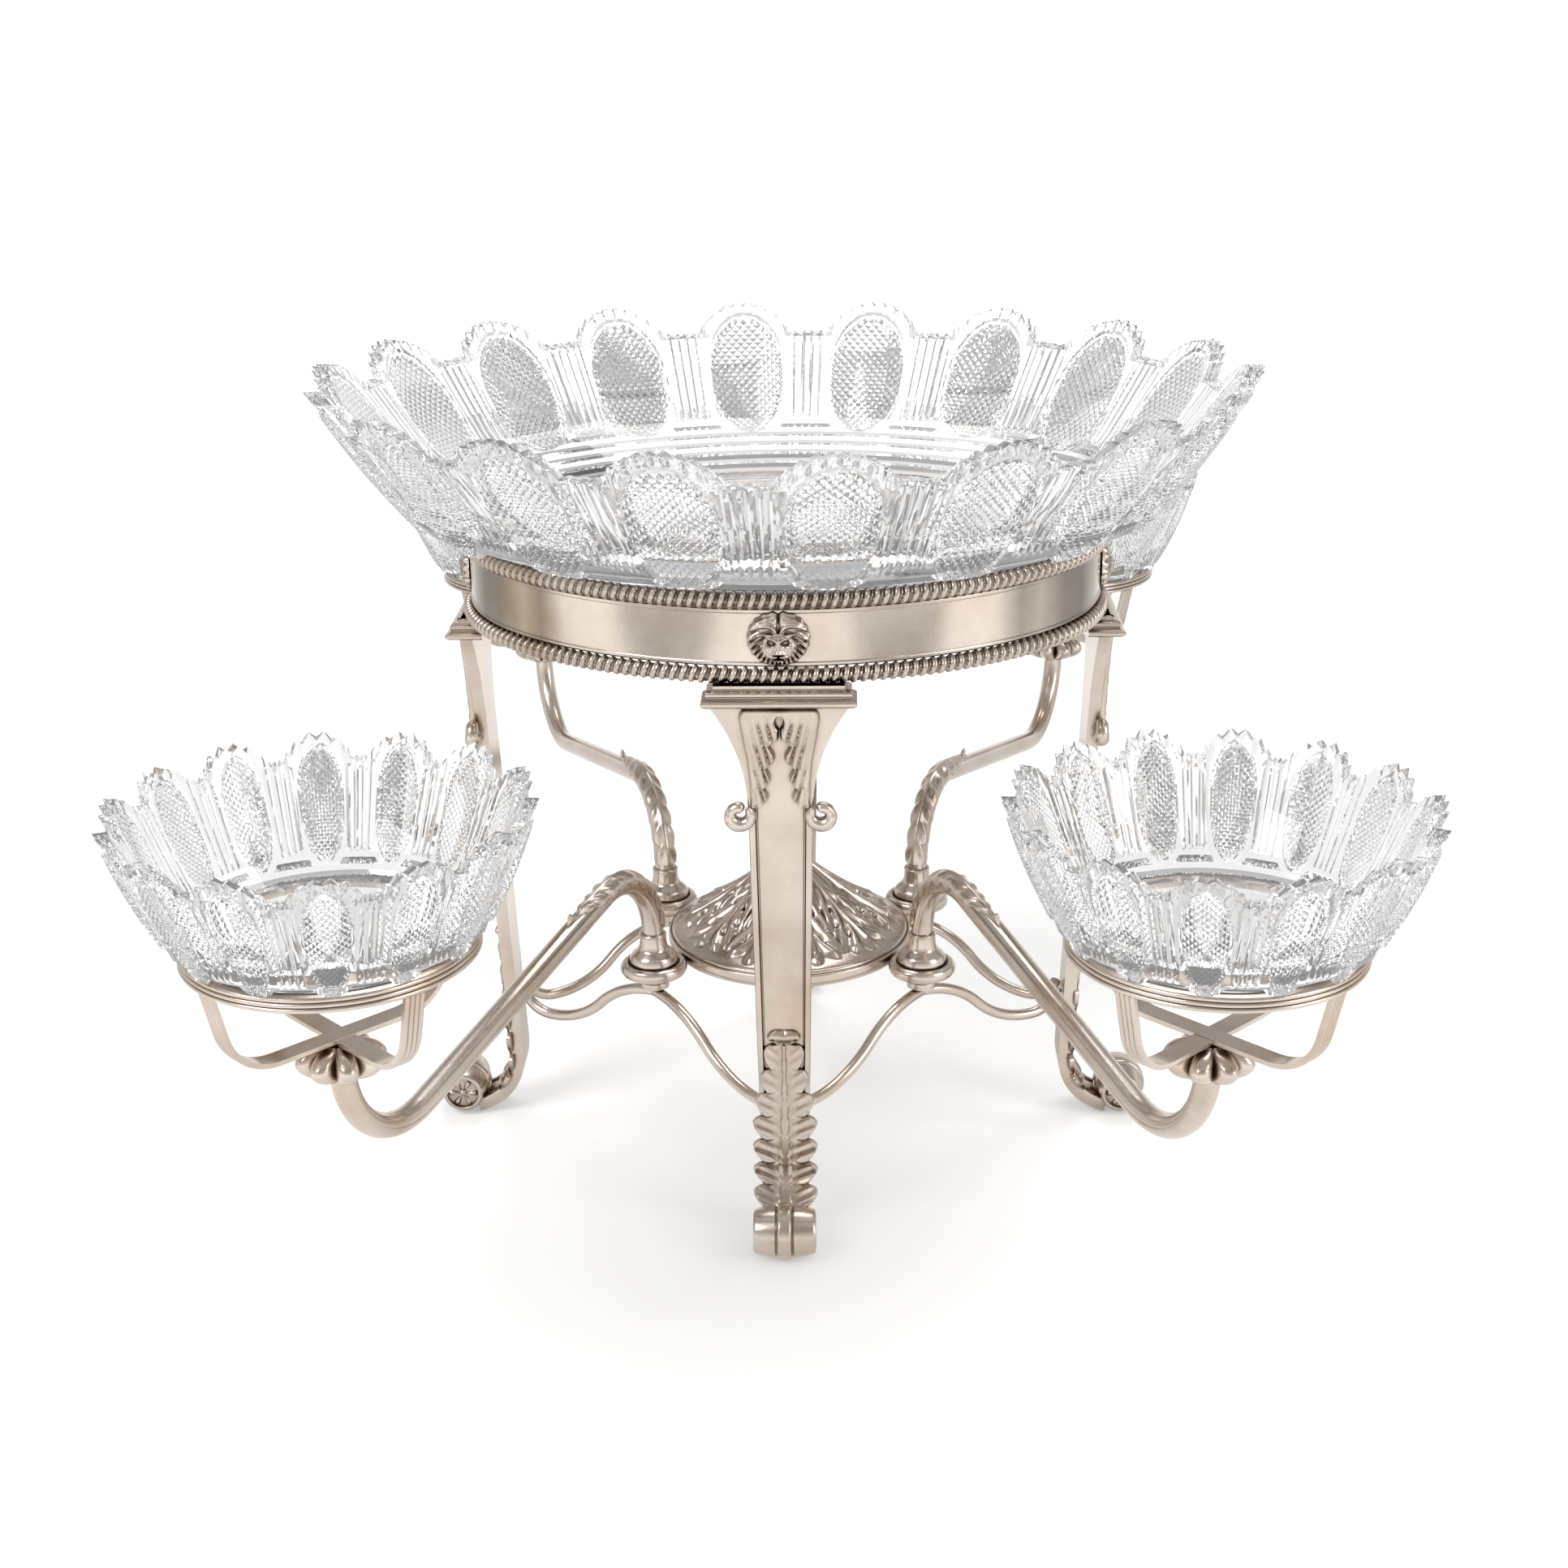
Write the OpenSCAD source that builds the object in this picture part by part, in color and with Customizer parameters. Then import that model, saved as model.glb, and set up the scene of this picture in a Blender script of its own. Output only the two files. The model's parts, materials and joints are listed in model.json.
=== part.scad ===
/* [Gallery ring] */
// Half length of the band's outer face, left to right
ring_half_length = 121; // [114:0.5:130]
// Half width of the band's outer face, front to back
ring_half_width = 103.5; // [99:0.5:110]
// Radius of the two end arcs of the oval
ring_end_r = 90; // [84:0.5:94]
// Height of the gallery's underside above the table
gallery_z = 219; // [205:1:235]
// Height of the gallery over both gadroon borders
gallery_h = 33; // [28:0.5:40]
// Wall of the band
band_wall = 1.6; // [1.2:0.1:2.4]
// Radius of a gadroon border
gadroon_r = 3; // [2.5:0.1:3.4]
// Width of the ledge that carries the main bowl
ledge_w = 22; // [18:0.5:26]
// Thickness of the ledge
ledge_t = 2; // [1.5:0.1:3]

/* [Main bowl] */
// Thickness of the base
bowl_base_t = 6; // [5:0.25:8]
// Thickness of the lobed wall
bowl_wall = 5; // [4:0.25:6]
// Distance of the base's edge inside the band's face
bowl_base_inset = 14; // [12:0.5:16]
// Distance of the knuckle, where the wall starts, outside the band's face
bowl_knuckle_out = 24; // [20:0.5:28]
// Height of the knuckle above the base
bowl_knuckle_h = 18.5; // [16:0.5:22]
// Distance of the rim outside the band's face
bowl_rim_out = 58; // [52:0.5:64]
// Height of the valleys between the lobes above the base
bowl_valley_h = 53.5; // [48:0.5:60]
// Height of a lobe above the valleys
bowl_lobe_h = 11.7; // [9:0.1:13]
// Radius of a lobe's rounded top
bowl_lobe_r = 26; // [23:0.5:27]
// Number of lobes
bowl_lobes = 18; // [16:1:19]
// Turn of the lobes along the rim, in parts of one lobe
bowl_lobe_phase = 0.36; // [0:0.01:1]
// Number of steps cut under the dish
bowl_steps = 6; // [4:1:8]
// Half width of the oval panel on a lobe
bowl_panel_half_w = 13.6; // [11:0.2:15]
// Half height of the oval panel on a lobe
bowl_panel_half_h = 20.5; // [17:0.5:23]
// Distance up the wall to the panel's middle
bowl_panel_middle = 29; // [26:0.5:32]

/* [Legs] */
// Thickness of a leg
leg_t = 4.5; // [3.5:0.25:6]
// Half width of a leg at its foot
leg_foot_half_w = 8.5; // [7.5:0.25:9.5]
// Half width of a leg under the capital's flare
leg_neck_half_w = 11.5; // [10.5:0.25:13]
// Half width at the top of the flare
leg_flare_half_w = 25; // [21:0.5:28]
// Height of the flare
leg_flare_h = 40; // [32:1:48]
// Inward lean of a leg
leg_lean = 2.6; // [1:0.1:4]
// Radius of the curl above a foot
leg_curl_r = 23; // [20:0.5:26]
// Depth of the sunk panel
leg_panel_depth = 0.8; // [0.4:0.1:1.2]
// Width of the raised fillet beside the panel
leg_fillet_w = 3; // [2:0.25:4]
// Height of a capital
capital_h = 7; // [5:0.5:9]
// Depth of a capital, front to back
capital_depth = 13; // [11:0.5:16]
// Relief of the applied leaves
leaf_relief = 1.6; // [1:0.1:2.4]
// Radius of the volutes beside the upper leaf
volute_r = 4.2; // [3.5:0.1:5]
// Length of the lower leaf
lower_leaf_len = 62; // [54:1:68]
// Number of lobes on each edge of the lower leaf
lower_leaf_lobes = 7; // [5:1:8]

/* [Feet] */
// Distance of the foot scroll's axis outside the band's face
foot_out = 16; // [13:0.5:19]
// Radius of the scroll's middle band
foot_band_r = 9; // [8.2:0.1:10]
// Width of the middle band
foot_band_w = 6; // [4.5:0.25:8]
// Radius of the drums
foot_drum_r = 7.4; // [6.5:0.1:8]
// Length of the scroll over both drums
foot_len = 23; // [20:0.5:26]
// Depth of the flat that rests on the table
foot_flat = 0.4; // [0.3:0.05:0.8]
// Radius of a rosette
rosette_r = 5.2; // [4.2:0.1:6]

/* [Lion masks] */
// Radius of the mane
mane_r = 10.5; // [9:0.25:11.5]
// Number of locks in the mane
mane_locks = 12; // [9:1:14]

/* [Centre plate and sockets] */
// Radius of the plate
plate_r = 49.5; // [45:0.5:54]
// Height of the plate's top above the table
plate_z = 83; // [76:0.5:90]
// Depth of the plate's rim
plate_rim_h = 6; // [4.5:0.25:8]
// Thickness of the plate
plate_t = 2; // [1.5:0.1:3]
// Radius of the dome's foot
dome_r = 44; // [40:0.5:45]
// Height of the dome
dome_h = 32; // [26:0.5:38]
// Outer radius of a socket's rolled rim
socket_r = 13.4; // [12:0.1:15]
// Radius of the rolled rim's bead
socket_bead_r = 2.7; // [2.2:0.1:3.2]
// Radius of a socket's tube
socket_tube_r = 6; // [5.4:0.1:7]
// Length of a socket's tube
socket_h = 11; // [9:0.5:14]
// Direction of a socket from the long axis
socket_angle = 32.6; // [29:0.1:37]

/* [Stretchers] */
// Radius of the wire
wire_r = 2.2; // [1.8:0.1:2.6]
// Drop of the wire from its arch to its lowest point
wire_drop = 22; // [18:0.5:26]
// Radius of the hook at each leg
wire_hook_r = 13; // [10:0.5:15]

/* [Arms] */
// Radius of an arm
arm_r = 4.25; // [3.6:0.05:4.6]
// Distance from the socket's axis to the small bowl's axis
arm_reach = 203; // [197:0.5:209]
// Radius of the arch over the socket
arch_r = 31; // [28:0.5:34]
// Slope of the arm's straight run
arm_slope = 12; // [10:0.5:14]
// Radius of the bend at the low point
low_bend_r = 40; // [34:0.5:46]
// Radius of the bend up to the calyx
end_bend_r = 34; // [30:0.5:38]
// Turn of a front arm out from the long axis, at rest
front_arm_angle = 66; // [60:0.5:70]
// Turn of a back arm out from the long axis, at rest
back_arm_angle = 69; // [64:0.5:73]
// Length of the leaf beyond the arch
arm_leaf_run = 26; // [20:0.5:32]
// Radius of the plug's flange
plug_flange_r = 9.6; // [8.6:0.1:10]
// Height of the plug above its flange
plug_h = 11; // [9:0.5:14]
// Radius of the plug's pin
pin_r = 4; // [3.2:0.1:4.6]
// Number of balls round a calyx
calyx_balls = 8; // [6:1:9]
// Radius of a calyx ball
calyx_ball_r = 4.6; // [4:0.1:5.2]

/* [Cradles] */
// Outer radius of a cradle ring
cradle_r = 46.4; // [44:0.1:49]
// Height of a cradle ring
cradle_ring_h = 5; // [4:0.25:7]
// Wall of a cradle ring
cradle_wall = 3.6; // [2.6:0.1:4.4]
// Width of the ledge inside a cradle ring
cradle_ledge_w = 6; // [4.5:0.25:8]
// Width of a strap
strap_w = 7; // [5:0.25:9]
// Thickness of a strap
strap_t = 2; // [1.5:0.1:3]
// Radius at which a strap bends up
strap_bend_at = 28; // [25:0.5:31]
// Rise from the straps' crossing to the ring
cradle_rise = 29; // [25:0.5:34]

/* [Small bowls] */
// Thickness of the wall
small_wall = 4; // [3.5:0.25:5]
// Thickness of the base
small_base_t = 4.5; // [4:0.25:6]
// Radius of the rim at the lobes' tops
small_rim_r = 66.5; // [63:0.1:68]
// Radius of the knuckle where the wall starts
small_knuckle_r = 50.5; // [48:0.5:53]
// Height of the knuckle above the base
small_knuckle_h = 7.5; // [6.5:0.25:9]
// Height of the valleys above the base
small_valley_h = 37; // [33:0.5:42]
// Height of a lobe above the valleys
small_lobe_h = 7.6; // [6.4:0.1:8]
// Radius of a lobe's rounded top
small_lobe_r = 13.6; // [12.5:0.1:14.4]
// Number of lobes
small_lobes = 14; // [12:1:15]
// Half width of the oval panel on a lobe
small_panel_half_w = 7; // [5.5:0.25:8.5]
// Half height of the oval panel on a lobe
small_panel_half_h = 13; // [10:0.5:15]
// Distance up the wall to the panel's middle
small_panel_middle = 20; // [18:0.5:22]

/* [Clearances] */
// Gap under each loose bowl
rest_gap = 0.3; // [0.2:0.05:0.5]
// Gap between soldered pieces that meet on curved faces
solder_gap = 0.1; // [0.05:0.01:0.2]
// Radial running clearance of a pin in its socket
pin_clearance = 0.05; // [0.02:0.01:0.09]

/* [Hidden] */
$fn = 72;
silver = [0.80, 0.75, 0.70];
worn_silver = [0.66, 0.61, 0.57];
glass = [0.86, 0.92, 0.93, 0.45];
over = 1;
far = 400;
bar_facet = 18;
knuckle = 1.03;

// The four-centre oval that every oval piece shares
end_c = ring_half_length - ring_end_r;
side_r = (pow(end_c, 2) + pow(ring_half_width, 2) - pow(ring_end_r, 2))
    / (2 * (ring_half_width - ring_end_r));
side_c = side_r - ring_half_width;
side_turn = atan2(end_c, side_c);
end_turn = 90 - side_turn;
bowl_inner_inset = 45;

gallery_top = gallery_z + gallery_h;
band_z = gallery_z + 2 * gadroon_r + solder_gap;
band_top = gallery_top - 2 * gadroon_r - solder_gap;
gadroon_out = gadroon_r / 6;
bowl_z = band_top + rest_gap;
bowl_top_h = bowl_valley_h + bowl_lobe_h;
bowl_lean = atan2(bowl_rim_out - bowl_knuckle_out, bowl_top_h - bowl_knuckle_h);
crest_flat = 0.4;
base_recess = 0.3;

leg_top = gallery_z - capital_h;
leg_x = 0.5;
foot_z = foot_band_r - foot_flat;
foot_x = foot_out;
leg_run = leg_top - foot_z - leg_curl_r + 5;
leaf_seat = leg_t / 2;
curl_facet = 8;

socket_dist = plate_r + socket_r + solder_gap;
socket_x = socket_dist * cos(socket_angle);
socket_y = socket_dist * sin(socket_angle);
socket_top = plate_z - 1;
bead_z = socket_top - socket_bead_r;
wire_top = socket_top - socket_h - wire_r - solder_gap;
hook_turn = 70;
wire_end_z = wire_top - wire_drop + wire_hook_r * (1 - cos(hook_turn));
wire_inset = (leg_top - wire_end_z) * tan(leg_lean) - leg_x + leg_t / 2 / cos(leg_lean) + wire_r + solder_gap;

plug_z = socket_top + rest_gap;
arm_z = plug_z + plug_h;
arch_turn = 90 + arm_slope;
end_turn_up = 90;
arm_run = (arm_reach - arch_r * (1 + cos(180 - arch_turn)) - low_bend_r * sin(arm_slope)
    - end_bend_r * sin(end_turn_up)) / cos(arm_slope);
arm_end_z = arm_z + arch_r * sin(180 - arch_turn) - arm_run * sin(arm_slope)
    - low_bend_r * (1 - cos(arm_slope)) + end_bend_r * (1 - cos(end_turn_up));
arm_trim = arm_r * tan(bar_facet / 2) + solder_gap;
calyx_h = 2 * calyx_ball_r;
calyx_z = arm_end_z;
strap_z = calyx_z + calyx_h + 2 * solder_gap;
strap_bend_r = 12;
strap_facets = 6;
strap_rise = cradle_rise + strap_t;
ring_z = strap_z + strap_rise;
strap_reach = cradle_r - 1.2 - strap_bend_at;
strap_slope = 2 * atan((sqrt(pow(strap_reach, 2) + strap_rise * (strap_rise - 2 * strap_bend_r)) - strap_reach)
    / (strap_rise - 2 * strap_bend_r));
ring_top = ring_z + cradle_ring_h;
ring_ledge_drop = 1;
ring_ledge_t = 2;
small_z = ring_top - ring_ledge_drop + rest_gap;
small_base_r = cradle_r - cradle_wall - 2;
small_top_h = small_valley_h + small_lobe_h;
small_lean = atan2(small_rim_r - small_knuckle_r, small_top_h - small_knuckle_h);
panel_raise = 0.7;

SIDES = ["right", "back", "left", "front"];
CORNERS = ["front_left", "front_right", "back_left", "back_right"];

// Arc lengths of a quarter of the oval, at a distance outside the band's face
function quarter_end(out) = end_turn * (ring_end_r + out) * PI / 180;
function quarter_side(out) = side_turn * (side_r + out) * PI / 180;
function quarter(out) = quarter_end(out) + quarter_side(out);
function quarter_angle(along, out) = along < quarter_end(out)
    ? along / (ring_end_r + out) * 180 / PI
    : end_turn + (along - quarter_end(out)) / (side_r + out) * 180 / PI;
// Direction of the outward normal at a length along the oval
function normal_at(along, out) =
    let (count = floor(along / quarter(out)), rest = along - count * quarter(out))
    count % 2 == 0
        ? count * 90 + quarter_angle(rest, out)
        : (count + 1) * 90 - quarter_angle(quarter(out) - rest, out);
function oval_point(normal, out) = abs(sin(normal)) < sin(end_turn)
    ? [sign(cos(normal)) * end_c + (ring_end_r + out) * cos(normal), (ring_end_r + out) * sin(normal)]
    : [(side_r + out) * cos(normal), (side_r + out) * sin(normal) - sign(sin(normal)) * side_c];

// Places a child on the oval, with +X pointing outwards
module on_oval(normal, out = 0) {
    translate(oval_point(normal, out)) rotate(normal) children();
}

// Sweeps a profile round the oval: x is the distance outside the band's face, y the height
module oval_sweep(trim = 0) {
    for (side = [0, 180])
        rotate(side) {
            translate([0, -side_c, 0])
                rotate(90 - side_turn + trim)
                    rotate_extrude(angle = 2 * (side_turn - trim)) translate([side_r, 0]) children();
            translate([end_c, 0, 0])
                rotate(trim - end_turn)
                    rotate_extrude(angle = 2 * (end_turn - trim)) translate([ring_end_r, 0]) children();
        }
}

// Places a child where the arcs of the oval meet
module each_seam() {
    for (normal = [end_turn, 180 - end_turn, 180 + end_turn, -end_turn]) on_oval(normal) children();
}

// Places a child on each side of the oval, in the order of SIDES
module each_side() {
    for (i = [0:3]) on_oval(90 * i) children();
}

// Places a child made for the back right corner at any corner
module at_corner(corner) {
    back = corner == "back_left" || corner == "back_right";
    right = corner == "front_right" || corner == "back_right";
    mirror([right ? 0 : 1, 0, 0]) mirror([0, back ? 0 : 1, 0]) children();
}

// Turn of the arm at a corner, at rest
function arm_angle(corner) =
    corner == "back_left" || corner == "back_right" ? back_arm_angle : front_arm_angle;

// Places a child in an arm's own frame: origin on the socket's axis, +X along the arm
module on_arm(corner) {
    at_corner(corner) translate([socket_x, socket_y, 0]) rotate(arm_angle(corner)) children();
}

// Corners of a bar of straight runs [length, 0] and bends [radius, turn], in side view
function bar_corners(runs, i = 0, at = [0, 0], heading = 0) = i == len(runs) ? [at] :
    let (size = runs[i][0], turn = runs[i][1], up = sign(turn), count = max(1, ceil(abs(turn) / bar_facet)),
        centre = at + up * size * [-sin(heading), cos(heading)])
    turn == 0
        ? concat([at], bar_corners(runs, i + 1, at + size * [cos(heading), sin(heading)], heading))
        : concat(
            [for (k = [0:count - 1]) let (a = heading + turn * k / count) centre + up * size * [sin(a), -cos(a)]],
            bar_corners(runs, i + 1, centre + up * size * [sin(heading + turn), -cos(heading + turn)], heading + turn));

// A round bar from the origin along +X: short lengths that stop inside a ball at each corner
module bent_bar(runs, r, first = 0, end = 0) {
    corners = bar_corners(runs);
    last = len(corners) - 2;
    gap = r * tan(bar_facet / 2) * 1.08;
    for (i = [0:last]) {
        along = corners[i + 1] - corners[i];
        start = i == 0 ? first : gap;
        finish = norm(along) - (i == last ? end : gap);
        translate([corners[i][0], 0, corners[i][1]]) rotate([0, 90 - atan2(along[1], along[0]), 0]) {
            translate([0, 0, start]) cylinder(h = finish - start, r = r);
            if (i > 0) sphere(r * knuckle);
        }
    }
}

// The valley between two lobes, cut along +X: y is along the rim, z is up from the valley
module valley_cut(pitch, lobe_h, lobe_r, depth) {
    rotate([90, 0, 90])
        linear_extrude(depth, center = true)
            difference() {
                translate([-pitch / 2 + 2, 0]) square([pitch - 4, lobe_h + over]);
                for (side = [-1, 1])
                    translate([side * pitch / 2, lobe_h + crest_flat - lobe_r]) circle(lobe_r);
            }
}

// A raised oval of cut glass on a wall that leans out along +X from the origin
module oval_panel(half_w, half_h, middle, lean) {
    rotate([0, 90 + lean, 0]) translate([-middle, 0, -panel_raise * 3])
        linear_extrude(panel_raise * 4)
            polygon([for (a = [0:30:330]) [half_h * cos(a), half_w * sin(a)]]);
}

// Section of the main bowl, with the steps cut under the dish
module main_bowl_section() {
    run = bowl_knuckle_out + bowl_base_inset;
    wall_x = bowl_wall / cos(bowl_lean);
    steps = [for (i = [0:bowl_steps - 1], up = [0, 1])
        [-bowl_base_inset + run * i / bowl_steps, bowl_knuckle_h * (i + up) / bowl_steps]];
    polygon(concat(
        [[-bowl_inner_inset, 0]], steps,
        [[bowl_knuckle_out, bowl_knuckle_h], [bowl_rim_out, bowl_top_h], [bowl_rim_out - wall_x, bowl_top_h],
         [bowl_knuckle_out - wall_x, bowl_knuckle_h + bowl_base_t * 0.6],
         [-bowl_base_inset - 2, bowl_base_t], [-bowl_inner_inset, bowl_base_t]]));
}

// Middle of the wall's thickness, that joins the arcs of the bowl
module main_bowl_core() {
    wall_x = bowl_wall / cos(bowl_lean);
    foot = [bowl_knuckle_out, bowl_knuckle_h + bowl_base_t];
    head = [bowl_knuckle_out + (bowl_valley_h - bowl_knuckle_h) * tan(bowl_lean), bowl_valley_h - over];
    polygon([foot - [wall_x * 0.25, 0], head - [wall_x * 0.25, 0], head - [wall_x * 0.75, 0], foot - [wall_x * 0.75, 0]]);
}

module main_bowl() {
    pitch = 4 * quarter(bowl_rim_out) / bowl_lobes;
    color(glass) translate([0, 0, bowl_z])
        difference() {
            union() {
                oval_sweep(0.02) main_bowl_section();
                translate([0, 0, base_recess])
                    cylinder(h = bowl_base_t - 2 * base_recess, r = (ring_half_length + ring_half_width
                        - bowl_inner_inset - bowl_base_inset) / 2);
                each_seam() rotate([90, 0, 0]) linear_extrude(4, center = true) main_bowl_core();
                for (i = [0:bowl_lobes - 1])
                    on_oval(normal_at((i + 0.5 + bowl_lobe_phase) * pitch, bowl_rim_out), bowl_knuckle_out)
                        translate([0, 0, bowl_knuckle_h])
                            oval_panel(bowl_panel_half_w, bowl_panel_half_h, bowl_panel_middle, bowl_lean);
            }
            for (i = [0:bowl_lobes - 1])
                on_oval(normal_at((i + bowl_lobe_phase) * pitch, bowl_rim_out), bowl_rim_out)
                    translate([0, 0, bowl_valley_h])
                        valley_cut(pitch, bowl_lobe_h, bowl_lobe_r, 6 * bowl_wall);
        }
}

module gallery_band() {
    color(silver) {
        oval_sweep() {
            translate([-band_wall, band_z]) square([band_wall, band_top - band_z]);
            translate([-ledge_w, band_top - ledge_t]) square([ledge_w, ledge_t]);
        }
        each_seam() translate([-band_wall * 2, -4, band_z + 2])
            cube([band_wall * 1.5, 8, band_top - band_z - ledge_t - 4]);
        each_seam() translate([2 - ledge_w, -4, band_top - ledge_t * 1.5])
            cube([ledge_w - band_wall - 4, 8, ledge_t]);
    }
}

module gadroon(z) {
    color(silver) {
        oval_sweep(0.03) translate([gadroon_out, z]) circle(gadroon_r);
        each_seam() translate([gadroon_out, 0, z]) sphere(gadroon_r * knuckle);
    }
}

module upper_gadroon() { gadroon(gallery_top - gadroon_r); }

module lower_gadroon() { gadroon(gallery_z + gadroon_r); }

// A lion's head in relief, its back on the band
module lion_mask(side) {
    lock_r = mane_r * 0.3;
    face_r = mane_r * 0.62;
    color(worn_silver) on_oval(side) translate([solder_gap, 0, gallery_z + gallery_h / 2])
        intersection() {
            translate([0, -far / 2, -far / 2]) cube(far);
            union() {
                rotate([0, 90, 0]) cylinder(h = mane_r * 0.2, r = mane_r * 0.85);
                for (i = [0:mane_locks - 1])
                    rotate([360 * (i + 0.5) / mane_locks, 0, 0])
                        translate([lock_r * 0.3, 0, mane_r - lock_r]) sphere(lock_r);
                translate([mane_r * 0.05, 0, 0]) sphere(face_r);
                translate([face_r * 0.85, 0, -face_r * 0.35]) sphere(face_r * 0.45);
                for (y = [-1, 1])
                    translate([face_r * 0.5, y * face_r * 0.85, face_r * 0.8]) sphere(face_r * 0.32);
            }
        }
}

module lion_mask_right() { lion_mask(0); }

module lion_mask_back() { lion_mask(90); }

module lion_mask_left() { lion_mask(180); }

module lion_mask_front() { lion_mask(270); }

// A leg's own leaning frame: origin at the top of the leg's centre line, +X outwards, leg along -Z
module leg_frame() {
    translate([leg_x, 0, leg_top]) rotate([0, leg_lean, 0]) children();
}

// Side view of the leg's line at a distance off its centre line, down to the curl's last facet
function leg_line(out, facets) = concat([[out, over]], [for (i = [0:facets])
    [leg_curl_r - (leg_curl_r - out) * cos(i * curl_facet), -leg_run - (leg_curl_r - out) * sin(i * curl_facet)]]);
function reversed(list) = [for (i = [len(list) - 1:-1:0]) list[i]];

// A strip along the leg's line, from one distance off its centre line to another
module leg_strip(from, to, facets) {
    rotate([90, 0, 0]) linear_extrude(far / 4, center = true)
        polygon(concat(leg_line(from, facets), reversed(leg_line(to, facets))));
}

// Front view of a leg: tapered shaft and concave flare
module leg_front_outline() {
    rise = leg_flare_half_w - leg_neck_half_w;
    cavetto_r = (pow(rise, 2) + pow(leg_flare_h, 2)) / (2 * rise);
    cavetto_turn = asin(leg_flare_h / cavetto_r);
    half = concat([[leg_flare_half_w, over]],
        [for (i = [12:-1:0]) [leg_neck_half_w + cavetto_r * (1 - cos(cavetto_turn * i / 12)),
            cavetto_r * sin(cavetto_turn * i / 12) - leg_flare_h]],
        [[leg_foot_half_w, -leg_top]]);
    polygon(concat(half, reversed(mirrored(half))));
}

module leg_solid() {
    difference() {
        leg_frame() difference() {
            intersection() {
                leg_strip(-leg_t / 2, leg_t / 2, 10);
                rotate([90, 0, 90]) linear_extrude(far, center = true) leg_front_outline();
            }
            translate([leg_t / 2 - leg_panel_depth, 0, 0]) rotate([90, 0, 90])
                linear_extrude(over + leg_panel_depth)
                    polygon([for (side = [-1, 1], z = side < 0 ? [0, 1] : [1, 0])
                        [side * (leg_neck_half_w - 1.5 - leg_fillet_w),
                         z == 0 ? -leg_flare_h - 6 : lower_leaf_len + 2 - leg_run - 10]]);
        }
        translate([foot_x, 0, foot_z]) rotate([90, 0, 0])
            cylinder(h = far, r = foot_band_r + solder_gap, center = true);
        translate([-far / 2, -far / 2, leg_top]) cube(far);
    }
}

module leg(side) {
    color(silver) on_oval(side) leg_solid();
}

module leg_right() { leg(0); }

module leg_back() { leg(90); }

module leg_left() { leg(180); }

module leg_front() { leg(270); }

// Two stepped slabs with a hollow between them
module capital() {
    slab = capital_h * 0.4;
    translate([leg_x - capital_depth / 2, -leg_flare_half_w - 1, leg_top])
        cube([capital_depth, 2 * leg_flare_half_w + 2, slab]);
    translate([leg_x - capital_depth / 2 + 1.2, -leg_flare_half_w + 2, leg_top + slab])
        cube([capital_depth - 2.4, 2 * leg_flare_half_w - 4, capital_h - slab - solder_gap]);
}

module capitals() {
    color(silver) each_side() capital();
}

// Acanthus spread over the flare, with a volute at each side of its tip
module upper_leaf() {
    leg_frame() translate([leaf_seat, 0, 0]) {
        rotate([90, 0, 90]) linear_extrude(leaf_relief) difference() {
            intersection() {
                leg_front_outline();
                translate([-leg_flare_half_w, -leg_flare_h - over])
                    square([2 * leg_flare_half_w, leg_flare_h + over - 2]);
            }
            polygon([[0, -leg_flare_h * 0.4], [5, -leg_flare_h - 2], [-5, -leg_flare_h - 2]]);
            translate([0, -leg_flare_h * 0.12]) circle(1.6);
        }
        for (side = [-1, 1])
            translate([0, side * (leg_neck_half_w + volute_r - 0.6), -leg_flare_h - 3]) rotate([0, 90, 0])
                cylinder(h = leaf_relief * 2, r = volute_r);
        translate([0, -leg_neck_half_w - volute_r * 0.6, -leg_flare_h - 3])
            cube([leaf_relief, 2 * leg_neck_half_w + volute_r * 1.2, 3]);
    }
}

module upper_leaves() {
    color(silver) each_side() upper_leaf();
}

// Outline of the lower leaf, from its curled top down
module lower_leaf_outline() {
    pitch = lower_leaf_len / lower_leaf_lobes;
    half = leg_foot_half_w - pitch * 0.35;
    translate([-half, -lower_leaf_len]) square([2 * half, lower_leaf_len]);
    for (i = [0:lower_leaf_lobes - 1], side = [-1, 1])
        translate([side * half, -pitch * (i + 0.5)]) circle(pitch * 0.42);
}

module lower_leaf() {
    difference() {
        leg_frame() translate([0, 0, lower_leaf_len - leg_run - 10]) intersection() {
            translate([0, 0, leg_run + 10 - lower_leaf_len])
                leg_strip(leaf_seat, leaf_seat + leaf_relief, 7);
            rotate([90, 0, 90]) linear_extrude(far, center = true) lower_leaf_outline();
        }
        translate([foot_x, 0, foot_z]) rotate([90, 0, 0])
            cylinder(h = far, r = foot_band_r + solder_gap, center = true);
    }
}

module lower_leaves() {
    color(worn_silver) each_side() lower_leaf();
}

module foot_scroll() {
    translate([foot_x, 0, foot_z]) difference() {
        rotate([90, 0, 0]) difference() {
            union() {
                cylinder(h = foot_band_w, r = foot_band_r, center = true);
                cylinder(h = foot_len, r = foot_drum_r, center = true);
            }
            for (side = [0, 1])
                mirror([0, 0, side]) translate([0, 0, foot_len / 2 - leaf_relief])
                    cylinder(h = over + leaf_relief, r = rosette_r + solder_gap);
        }
        translate([-far / 2, -far / 2, -far - foot_z]) cube(far);
    }
}

module foot_scrolls() {
    color(silver) each_side() foot_scroll();
}

// Six petals round a button, sunk in each end of a scroll
module foot_rosette() {
    petal_r = rosette_r * 0.3;
    cylinder(h = leaf_relief * 0.4, r = rosette_r);
    cylinder(h = leaf_relief, r = rosette_r * 0.25);
    for (i = [0:5])
        rotate(60 * i) translate([rosette_r * 0.6, 0, 0]) cylinder(h = leaf_relief * 0.8, r = petal_r);
}

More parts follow.
